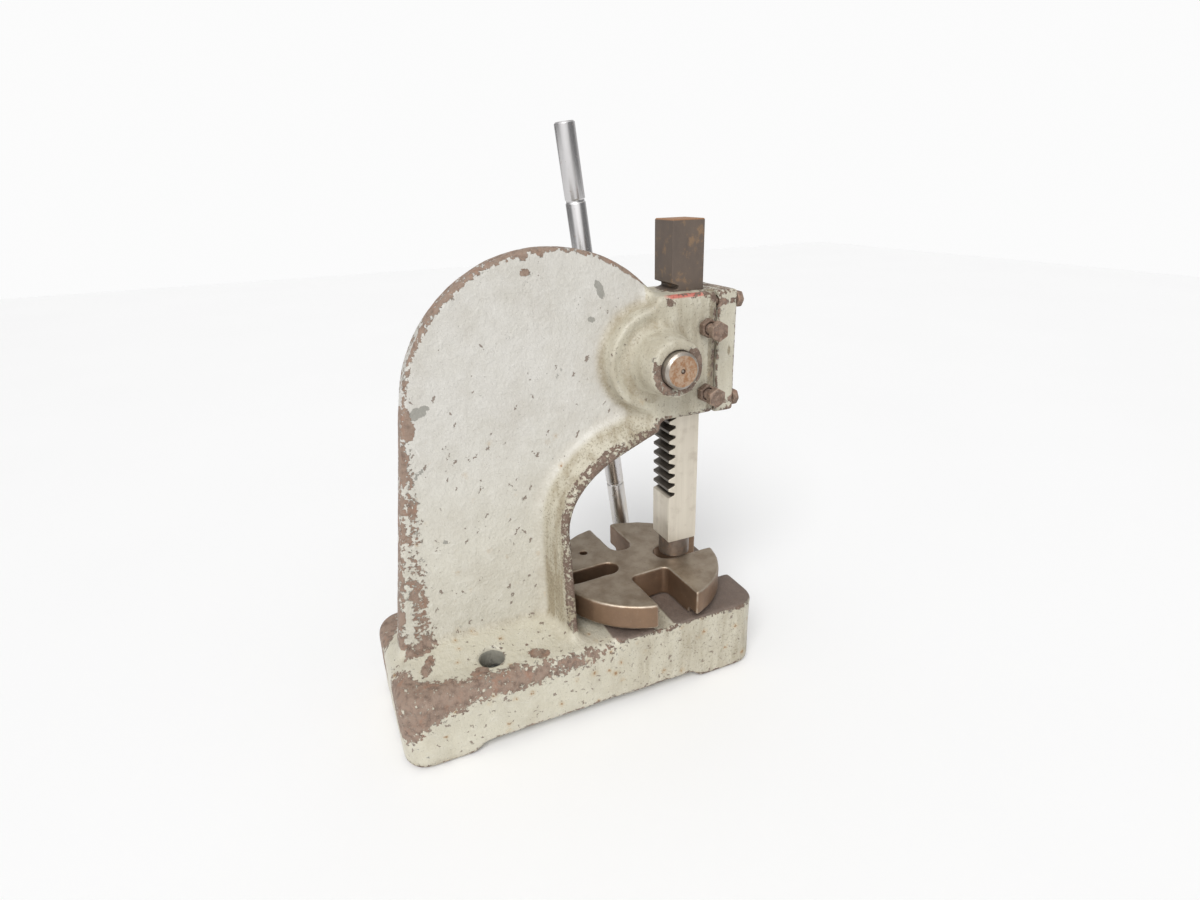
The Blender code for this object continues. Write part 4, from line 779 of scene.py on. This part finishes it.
# Marks on the near side: depth from the ram's axis, height, half length, half width, lean in degrees
CHIPS = (
    (0.1177, 0.3300, 0.0034, 0.0028, 10),
    (0.1070, 0.3308, 0.0030, 0.0020, 40),
    (0.1172, 0.3188, 0.0028, 0.0018, 0),
    (0.2035, 0.2300, 0.0115, 0.0052, 86),
    (0.2090, 0.2065, 0.0120, 0.0036, 84),
    (0.2120, 0.0645, 0.0120, 0.0030, 12),
    (0.0198, 0.2936, 0.0030, 0.0026, 30),
    (-0.0097, 0.2962, 0.0040, 0.0022, 20),
    (-0.0150, 0.2950, 0.0026, 0.0030, 0),
)
UNDERCOAT_PATCHES = (
    (0.1945, 0.2370, 0.0075, 0.0036, 160),
    (0.2000, 0.1940, 0.0030, 0.0012, 110),
    (0.1970, 0.1970, 0.0026, 0.0010, 140),
    (0.1870, 0.1420, 0.0022, 0.0016, 20),
    (0.0655, 0.3045, 0.0070, 0.0026, 70),
    (0.0722, 0.2848, 0.0028, 0.0020, 20),
)

# Bare patches on the base's near top: depth, distance from the middle, half length, half width, lean
BASE_TOP_CHIPS = (
    (0.1370, 0.0440, 0.0075, 0.0050, 160),
    (0.1560, 0.0500, 0.0035, 0.0022, 20),
    (0.1800, 0.0455, 0.0075, 0.0040, 30),
    (0.2120, 0.0270, 0.0080, 0.0035, 60),
    (0.2130, 0.0120, 0.0120, 0.0040, 8),
    (0.1470, 0.0360, 0.0020, 0.0014, 0),
    (0.1420, 0.0330, 0.0018, 0.0014, 0),
)


def spots(places, first, second):
    """A mask that is 1 inside each oval place and fades over its edge."""
    mask = np.zeros_like(first)
    for first_middle, second_middle, length, width, lean in places:
        turn = math.radians(lean)
        ahead, beside = first - first_middle, second - second_middle
        along = ahead * math.cos(turn) + beside * math.sin(turn)
        across = beside * math.cos(turn) - ahead * math.sin(turn)
        mask = np.maximum(mask, smooth_step(np.hypot(along / length, across / width), 1.35, 0.75))
    return mask


BODIES = {node: body for body, nodes in frame["record"]["behaviour"]["bodies"].items() for node in nodes}


def settle(obj, node, material):
    """The piece gets its finish, rides where the node does and stands for it."""
    obj.data.materials.clear()
    obj.data.materials.append(material)
    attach(obj, BODIES[node])
    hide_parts(node)


def threaded(node, field):
    """Cuts a screw thread in the shank that a gib screw shows between its nut and its head."""
    if not node.startswith("gib_screw"):
        return
    low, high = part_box(node)
    x, y, z = field.axes()
    across, upward = y - (low[1] + high[1]) / 2, z - (low[2] + high[2]) / 2
    turns = x / THREAD_PITCH + np.arctan2(upward, across) / math.tau
    ridge = SCREW_RADIUS - THREAD_DEPTH * (0.5 + 0.5 * np.cos(math.tau * turns))
    groove = np.hypot(across, upward) - ridge
    shank = x > low[0] + SCREW_HEAD_HEIGHT
    field.values = np.where(shank, np.maximum(field.values, groove), field.values).astype(np.float32)


def weathered(node, cell, radius, softness, seed, shaping=None):
    """A piece with rounded, slightly uneven surfaces made from a CAD node's level set."""
    reach = 2 * radius + 2 * cell
    _, field = field_of_node(node, cell, reach)
    soft = field.blurred(softness)
    soft.values = np.maximum(soft.values, field.values) + wavy(field, 4 * radius, 0.35 * cell, seed)
    if shaping:
        shaping(node, soft)
    points, quads = soft.surface()
    edge, corner = edge_masks(field, points, radius)
    return mesh_object(f"{node}_finished", points, quads, {"wear": edge, "corner_dirt": corner})


def machined(node, softness):
    """A piece with the CAD node's own faces, cleaned and with softened edges."""
    bm = bmesh.new()
    bm.from_mesh(frame["nodes"][node].data)
    bmesh.ops.remove_doubles(bm, verts=bm.verts[:], dist=0.00001)
    bmesh.ops.dissolve_limit(bm, angle_limit=math.radians(0.5), verts=bm.verts[:], edges=bm.edges[:])
    mesh = bpy.data.meshes.new(f"{node}_finished")
    bm.to_mesh(mesh)
    bm.free()
    mesh.shade_smooth()
    mesh.set_sharp_from_angle(angle=math.radians(30))
    obj = bpy.data.objects.new(mesh.name, mesh)
    bpy.context.scene.collection.objects.link(obj)
    if softness:
        bevel = obj.modifiers.new("Softened edges", "BEVEL")
        bevel.width = softness
        bevel.segments = 2
        bevel.limit_method = "ANGLE"
        bevel.angle_limit = math.radians(35)
        bevel.harden_normals = True
        bevel.use_clamp_overlap = True
    return obj


# Operators: one for each group of pieces

class PRESS_OT_casting(bpy.types.Operator):
    """Dresses the frame casting: fillets, an uneven cast surface, worn paint and bare machined lands"""

    bl_idname = "press.casting"
    bl_label = "Frame casting"

    def execute(self, context):
        finish = context.scene.press_finish
        cell = finish.casting_cell
        reach = 2 * finish.casting_fillet + 3 * cell
        grid, field = field_of_node("frame_casting", cell, reach)
        filled = filled_corners(grid, field, finish.casting_fillet, reach)
        x, y, z = field.axes()
        from_pinion = np.hypot(y - PINION_Y, z - PINION_Z)
        exact = self.exact_places(x, y, z, from_pinion)
        values = np.where(exact, field.values, np.minimum(filled.values, field.values))
        shaped = Field(field.low, cell, values)
        soft = shaped.blurred(0.0016)
        mixed = np.where(exact, shaped.values, np.maximum(soft.values, shaped.values - 0.0004))
        land = (z > TABLE_TOP - 0.004) & (y < RAM_AXIS_Y + LAND_REAR_DEPTH) & (z < TABLE_TOP + 0.003)
        waves = wavy(field, 0.011, 0.00035, 3) + wavy(field, 0.028, 0.00035, 5)
        shaped.values = mixed + np.where(land | exact, 0, waves).astype(np.float32)
        points, quads = shaped.surface()
        obj = mesh_object("frame_casting_finished", points, quads, self.masks(shaped, points))
        settle(obj, "frame_casting", worn_paint(finish, "worn_paint"))
        return {"FINISHED"}

    def exact_places(self, x, y, z, from_pinion):
        """Machined hollows that keep the CAD model's own shape."""
        channel = (np.abs(x) < CHANNEL_ROOM_HALF_WIDTH) & (y < RAM_AXIS_Y + CHANNEL_ROOM_DEPTH)
        channel = channel & (z > HEAD_BOTTOM - 0.002) & (z < HEAD_TOP + 0.002)
        bore = (from_pinion < FAR_BORE_ROOM_RADIUS) & (x > BORE_STEP_X - BORE_STEP_MARGIN)
        near_bore = (from_pinion < NEAR_BORE_ROOM_RADIUS) & (x < BORE_STEP_X + BORE_STEP_MARGIN)
        return channel | bore | near_bore

    def masks(self, shaped, points):
        """Where the casting is worn, dirty, bare and grey, and where it gets painted shade, from its shape and its
        places.
        """
        x, y, z = points.astype(float).T
        depth = y - RAM_AXIS_Y
        side = np.abs(x)
        from_pinion = np.hypot(y - PINION_Y, z - PINION_Z)
        edge, corner = edge_masks(shaped, points, 0.004)
        _, broad_corner = edge_masks(shaped, points, 0.009)
        base = smooth_step(z, 0.070, 0.062)
        head = np.maximum(smooth_step(from_pinion, 0.044, 0.037), (depth < 0.032) & (z > 0.2))
        web = smooth_step(side, 0.0150, 0.0100) * (1 - base) * (1 - head)
        flange = (1 - base) * (1 - head) * (1 - web)
        rim = self.depth_in_web(y, z)
        drum = (from_pinion < DRUM_RADIUS) & (depth > 0.021) & (x < -0.016)
        wear = edge * (0.60 - 0.12 * base - 0.28 * head) * np.where(drum, 0.3, 1)
        wear = np.maximum(wear, self.base_wear(side, depth, z) * base)
        wear = np.maximum(wear, self.rim_wear(rim, z) * web)
        wear = np.maximum(wear, self.flange_wear(side, z) * flange)
        ring = (x < BOSS_END_X) & (from_pinion < BOSS_END_RADIUS) & (from_pinion > NEAR_BORE_RADIUS - 0.0002)
        wear = np.where(ring, self.boss_wear(depth, z, from_pinion), wear)
        wear = np.maximum(wear, head * smooth_step(z, 0.2135, 0.2100) * 0.55)
        wear = np.maximum(wear, spots(CHIPS, depth, z) * (x < 0) * (1 - base))
        wear = np.maximum(wear, spots(BASE_TOP_CHIPS, depth, -x) * (z > 0.055) * 0.9)
        land = (np.abs(z - TABLE_TOP) < 0.0012) & (depth < LAND_REAR_DEPTH)
        # Dust on the base, growing toward the front: partly painted shade, since less light falls on the front.
        dust_and_front_shade = base * (0.16 + 0.6 * smooth_step(depth, 0.13, 0.02))
        # Partly painted shade: the flange, the head and the base's front are darkened where less light falls, over
        # olive dirt on the flange.
        grime_and_shade = np.clip(flange * (0.95 + 0.3 * smooth_step(z, 0.19, 0.10)) + head * 0.62 + dust_and_front_shade, 0, 1.3)
        # Darker along the lowest 10 mm of the casting.
        grime_and_shade = np.maximum(grime_and_shade, smooth_step(z, 0.010, 0.001) * 0.9)
        joint = smooth_step(y, COVER_HIGH[1] + 0.0022, COVER_HIGH[1] + 0.0008)
        grime_and_shade = np.maximum(grime_and_shade, head * joint * 2.0)
        smear = (z > HEAD_TOP - 0.0024) & (x < 0) & (side > 0.0212)
        from_hole = np.hypot(side - BOLT_HOLE_SIDE, depth - BOLT_HOLE_DEPTH)
        in_hole = (from_hole < BOLT_HOLE_RADIUS) & (z < TABLE_TOP - 0.0018)
        return {
            "wear": wear,
            "corner_dirt": np.clip(corner * 0.22 + broad_corner * 0.06 + corner * head * 0.2, 0, 1),
            "bare_iron": np.maximum(land, self.inside_bores(x, depth, z, from_pinion)),
            "grey_coat": web * (0.4 + 0.6 * smooth_step(z, 0.10, 0.25)),
            "nicked": np.clip(web * smooth_step(z, 0.30, 0.17) * 0.9 + base * 0.8 + head * 0.3 + 0.12, 0, 1),
            "grime_and_shade": grime_and_shade,
            "undercoat": np.maximum(spots(UNDERCOAT_PATCHES, depth, z) * (x < 0) * web, in_hole),
            "red_smear": smear * smooth_step(depth, -0.010, -0.004) * smooth_step(depth, 0.025, 0.019),
        }

    def depth_in_web(self, y, z):
        """How far inside the web's rim a point lies: from its round top, or from its leaning rear edge."""
        across = y - (CAST_HIGH[1] - WEB_TOP_FROM_REAR)
        upward = z - (CAST_HIGH[2] - WEB_TOP_RADIUS)
        behind = across * math.cos(WEB_LEAN) + upward * math.sin(WEB_LEAN)
        round_top = np.arctan2(upward, across) > WEB_LEAN
        return WEB_TOP_RADIUS - np.where(round_top, np.hypot(across, upward), behind)

    def base_wear(self, side, depth, z):
        """The rounded top edge of the base, bare in a ragged band that widens to the rear corners."""
        lower = np.interp(depth, (0.080, 0.111, 0.138, 0.185, 0.206, 0.220, 0.234),
                          (0.0515, 0.0475, 0.0460, 0.0455, 0.0420, 0.0360, 0.0250))
        inner = np.interp(depth, (0.080, 0.138, 0.182, 0.205, 0.219, 0.234),
                          (0.0008, 0.0030, 0.0075, 0.0120, 0.0210, 0.0420))
        band = smooth_step(z, lower - 0.009, lower + 0.006)
        band = band * smooth_step(side, HALF_BASE - inner - 0.009, HALF_BASE - inner + 0.004)
        low_edge = smooth_step(z, 0.0045, 0.0010) * 0.4
        return np.maximum(band * smooth_step(depth, 0.074, 0.088), low_edge)

    def rim_wear(self, rim, z):
        """The web's rim: bare up its rear edge and over the rear half of its round top."""
        rear = smooth_step(rim, 0.0050, 0.0024) * smooth_step(z, 0.250, 0.236) * 0.8
        top = smooth_step(rim, 0.0034, 0.0014) * smooth_step(z, 0.286, 0.300) * 0.9
        return np.maximum(np.maximum(rear, top), smooth_step(rim, 0.0020, 0.0006) * 0.4)

    def flange_wear(self, side, z):
        """The flange's narrow edge, bare along most of the throat."""
        half_width = np.interp(z, (0.064, 0.20), (0.043, 0.0255))
        edge = smooth_step(side, half_width - 0.0035, half_width - 0.0012)
        return edge * (0.46 + 0.22 * smooth_step(z, 0.19, 0.14) - 0.12 * smooth_step(z, 0.10, 0.075))

    def boss_wear(self, depth, z, from_pinion):
        """The near boss's end: rusty to its lower left and right, painted at the top and the lower rim."""
        pinion_depth = PINION_Y - RAM_AXIS_Y
        angle = np.degrees(np.arctan2(z - PINION_Z, pinion_depth - depth)) % 360
        painted_top = smooth_step(np.abs(angle - 108), 66, 44)
        painted_rim = smooth_step(np.abs(angle - 300), 52, 38) * smooth_step(from_pinion, 0.0178, 0.0190)
        return 0.95 - 0.80 * np.maximum(painted_top, painted_rim)

    def inside_bores(self, x, depth, z, from_pinion):
        """Machined insides: the ram's channel and the pinion's bores."""
        in_head = (z > HEAD_BOTTOM + 0.001) & (z < HEAD_TOP - 0.001)
        channel = (np.abs(x) < CHANNEL_HALF_WIDTH) & (depth < CHANNEL_DEPTH) & in_head
        bore = (from_pinion < FAR_BORE_RADIUS) & (x > BORE_STEP_X)
        return channel | bore | (from_pinion < NEAR_BORE_RADIUS)


class PRESS_OT_cover(bpy.types.Operator):
    """Dresses the front cover in the head's old paint"""

    bl_idname = "press.cover"
    bl_label = "Front cover"

    def execute(self, context):
        finish = context.scene.press_finish
        obj = weathered("front_cover", finish.plate_cell, 0.003, 0.001, 11)
        x, y, z = point_rows(obj)
        wear = point_values(obj, "wear") * 0.62
        ends = np.maximum(smooth_step(z, HEAD_TOP - 0.0045, HEAD_TOP - 0.0015),
                          smooth_step(z, HEAD_BOTTOM + 0.0060, HEAD_BOTTOM + 0.0025)) * 0.62
        drip = smooth_step(np.hypot((y - RAM_AXIS_Y + 0.0292) / 0.0011, (z - 0.2552) / 0.0034), 1.3, 0.7)
        set_mask(obj, "wear", np.maximum(wear, ends))
        joint = smooth_step(y, COVER_HIGH[1] - 0.0022, COVER_HIGH[1] - 0.0008)
        # A base level of the grime and shade mask over the whole cover, partly painted shade, with the drip and
        # the joint line stronger.
        set_mask(obj, "grime_and_shade", 0.4 + 1.6 * np.maximum(drip * (x < 0), joint))
        set_mask(obj, "nicked", np.full_like(z, 0.6))
        settle(obj, "front_cover", worn_paint(finish, "cover_paint"))
        return {"FINISHED"}


class PRESS_OT_screws(bpy.types.Operator):
    """Dresses the cover bolts, the gib screws and their lock nuts, and the screws of the hub and far boss"""

    bl_idname = "press.screws"
    bl_label = "Bolts, screws and nuts"

    def execute(self, context):
        finish = context.scene.press_finish
        rusty = rusty_steel(finish, "rusty_steel", 0.10)
        dark = rusty_steel(finish, "dark_rusty_steel", 0.30)
        places = [f"cover_bolt_{level}_{side}" for level in ("upper", "lower") for side in ("near", "far")]
        places += ["gib_screw_lower", "gib_screw_upper", "pinion_retaining_screw", "lever_lock_screw"]
        for seed, node in enumerate(places):
            cell = finish.thread_cell if node.startswith("gib_screw") else finish.screw_cell
            settle(weathered(node, cell, 0.0014, 0.0006, 20 + seed, threaded), node, rusty)
        for seed, node in enumerate(("gib_locknut_lower", "gib_locknut_upper")):
            obj = weathered(node, finish.screw_cell, 0.0014, 0.0006, 40 + seed)
            settle(obj, node, dark)
        return {"FINISHED"}


class PRESS_OT_ram(bpy.types.Operator):
    """Dresses the ram, its nose and its gib"""

    bl_idname = "press.ram"
    bl_label = "Ram, nose and gib"

    def execute(self, context):
        finish = context.scene.press_finish
        settle(machined("ram", finish.edge_softness), "ram", ram_steel(finish, "ram_steel"))
        dark = dark_steel(finish, "nose_steel")
        settle(machined("ram_nose", finish.edge_softness), "ram_nose", dark)
        settle(machined("ram_gib", finish.edge_softness / 2), "ram_gib", dark)
        return {"FINISHED"}


class PRESS_OT_pinion(bpy.types.Operator):
    """Dresses the pinion shaft, the lever's hub, its cross pin and the friction plug"""

    bl_idname = "press.pinion"
    bl_label = "Pinion shaft and hub"

    def execute(self, context):
        finish = context.scene.press_finish
        settle(machined("pinion_shaft", finish.edge_softness / 2), "pinion_shaft",
               shaft_steel(finish, "shaft_steel"))
        dark = dark_steel(finish, "hub_steel")
        settle(machined("lever_hub", finish.edge_softness), "lever_hub", dark)
        settle(machined("hub_pin", finish.edge_softness / 2), "hub_pin", dark)
        settle(machined("plate_pivot_pin", finish.edge_softness), "plate_pivot_pin", dark)
        settle(machined("lever_friction_plug", finish.edge_softness / 2), "lever_friction_plug",
               plug_brass(finish, "plug_brass"))
        return {"FINISHED"}


class PRESS_OT_lever(bpy.types.Operator):
    """Dresses the lever in old chrome"""

    bl_idname = "press.lever"
    bl_label = "Lever"

    def execute(self, context):
        finish = context.scene.press_finish
        settle(machined("lever", finish.edge_softness / 2), "lever", lever_chrome(finish, "lever_chrome"))
        return {"FINISHED"}


class PRESS_OT_plate(bpy.types.Operator):
    """Dresses the arbor plate in browned machined iron with bright edges"""

    bl_idname = "press.plate"
    bl_label = "Arbor plate"

    def execute(self, context):
        finish = context.scene.press_finish
        obj = weathered("arbor_plate", finish.plate_cell, 0.0016, 0.0006, 7)
        z = point_rows(obj)[2]
        set_mask(obj, "rim_band", smooth_step(z, PLATE_HIGH[2] - 0.0006, PLATE_HIGH[2] - 0.0014))
        settle(obj, "arbor_plate", plate_iron(finish, "plate_iron"))
        return {"FINISHED"}


class PRESS_OT_stage(bpy.types.Operator):
    """Sets the floor, the lights, the white surroundings and the camera"""

    bl_idname = "press.stage"
    bl_label = "Floor, lights and camera"

    def execute(self, context):
        stage = context.scene.press_stage
        context.scene.view_settings.view_transform = "Standard"
        self.add_floor(stage)
        self.add_world(context, stage)
        self.add_key(context, stage)
        self.add_camera(context, stage)
        return {"FINISHED"}

    def add_floor(self, stage):
        half = stage.floor_size / 2
        mesh = bpy.data.meshes.new("floor")
        corners = [(-half, -half, 0), (half, -half, 0), (half, half, 0), (-half, half, 0)]
        mesh.from_pydata(corners, [], [(0, 1, 2, 3)])
        floor = bpy.data.objects.new("floor", mesh)
        bpy.context.scene.collection.objects.link(floor)
        material, graph, shader, place = start_material("floor_white", Roughness=0.6)
        speckle = graph.noise(place, 3, 2, 0.5)
        white = graph.blend(speckle, srgb(252, 252, 252), srgb(249, 249, 249))
        graph.give(shader.inputs["Base Color"], white)
        mesh.materials.append(material)

    def add_world(self, context, stage):
        """White for the camera, even light for the object, and light and dark for metal to mirror."""
        world = bpy.data.worlds.new("studio")
        context.scene.world = world
        world.use_nodes = True
        graph = Graph(world.node_tree)
        background = world.node_tree.nodes["Background"]
        rays = graph.add("ShaderNodeLightPath").outputs
        toward = graph.add("ShaderNodeTexCoord").outputs["Generated"]
        key = Vector(stage.key_direction).normalized()
        across = key.cross(Vector((0, 0, 1))).normalized()
        lit, beside = (graph.add("ShaderNodeVectorMath", {0: toward, 1: tuple(way)}, operation="DOT_PRODUCT")
                       .outputs["Value"] for way in (key, across))
        mirrored = graph.between(graph.step(lit, 0.35, 0.9), 0.6, 1.5)
        mirrored = graph.between(graph.step(graph.math("ABSOLUTE", beside), 0.62, 0.9), mirrored, 0.22)
        strength = graph.between(rays["Is Glossy Ray"], stage.sky_strength, mirrored)
        strength = graph.between(rays["Is Camera Ray"], strength, stage.backdrop)
        background.inputs["Color"].default_value = (1, 1, 1, 1)
        graph.give(background.inputs["Strength"], strength)

    def add_key(self, context, stage):
        data = bpy.data.lights.new("key_light", "SUN")
        data.energy = stage.key_strength
        data.angle = stage.key_spread
        lamp = bpy.data.objects.new("key_light", data)
        context.scene.collection.objects.link(lamp)
        lamp.rotation_euler = Vector(stage.key_direction).to_track_quat("Z", "Y").to_euler()

    def add_camera(self, context, stage):
        azimuth, elevation, roll = stage.camera_azimuth, stage.camera_elevation, stage.camera_roll
        back = Vector((math.sin(azimuth) * math.cos(elevation), -math.cos(azimuth) * math.cos(elevation),
                       math.sin(elevation)))
        right = (-back).cross(Vector((0, 0, 1))).normalized()
        up = right.cross(-back)
        tilted_right = right * math.cos(roll) + up * math.sin(roll)
        tilted_up = up * math.cos(roll) - right * math.sin(roll)
        data = bpy.data.cameras.new("camera")
        data.sensor_width = 36
        data.lens = stage.camera_lens
        data.clip_start = 0.01
        camera = bpy.data.objects.new("camera", data)
        context.scene.collection.objects.link(camera)
        camera.matrix_world = Matrix.Translation(stage.camera_place) @ Matrix(
            (tilted_right, tilted_up, back)).transposed().to_4x4()
        context.scene.camera = camera


PIECES = (PRESS_OT_casting, PRESS_OT_cover, PRESS_OT_screws, PRESS_OT_ram, PRESS_OT_pinion, PRESS_OT_lever,
          PRESS_OT_plate, PRESS_OT_stage)


class PRESS_PT_panel(bpy.types.Panel):
    """Lists the pieces of the press and what can be set"""

    bl_idname = "PRESS_PT_panel"
    bl_label = "Arbor press finish"
    bl_space_type = "VIEW_3D"
    bl_region_type = "UI"
    bl_category = "Press"

    def draw(self, context):
        layout = self.layout
        for settings in (context.scene.press_finish, context.scene.press_stage):
            column = layout.column()
            for name in settings.__annotations__:
                column.prop(settings, name)
        for operator in PIECES:
            layout.operator(operator.bl_idname)


CLASSES = (PressFinish, PressStage, *PIECES, PRESS_PT_panel)


def register():
    """Adds the settings, the operators and the panel."""
    for cls in CLASSES:
        bpy.utils.register_class(cls)
    bpy.types.Scene.press_finish = PointerProperty(type=PressFinish)
    bpy.types.Scene.press_stage = PointerProperty(type=PressStage)


def unregister():
    """Takes them out again."""
    del bpy.types.Scene.press_stage
    del bpy.types.Scene.press_finish
    for cls in reversed(CLASSES):
        bpy.utils.unregister_class(cls)


def main():
    """Dresses the whole press."""
    register()
    for operator in PIECES:
        group, name = operator.bl_idname.split(".")
        getattr(getattr(bpy.ops, group), name)()


if __name__ == "__main__":
    main()
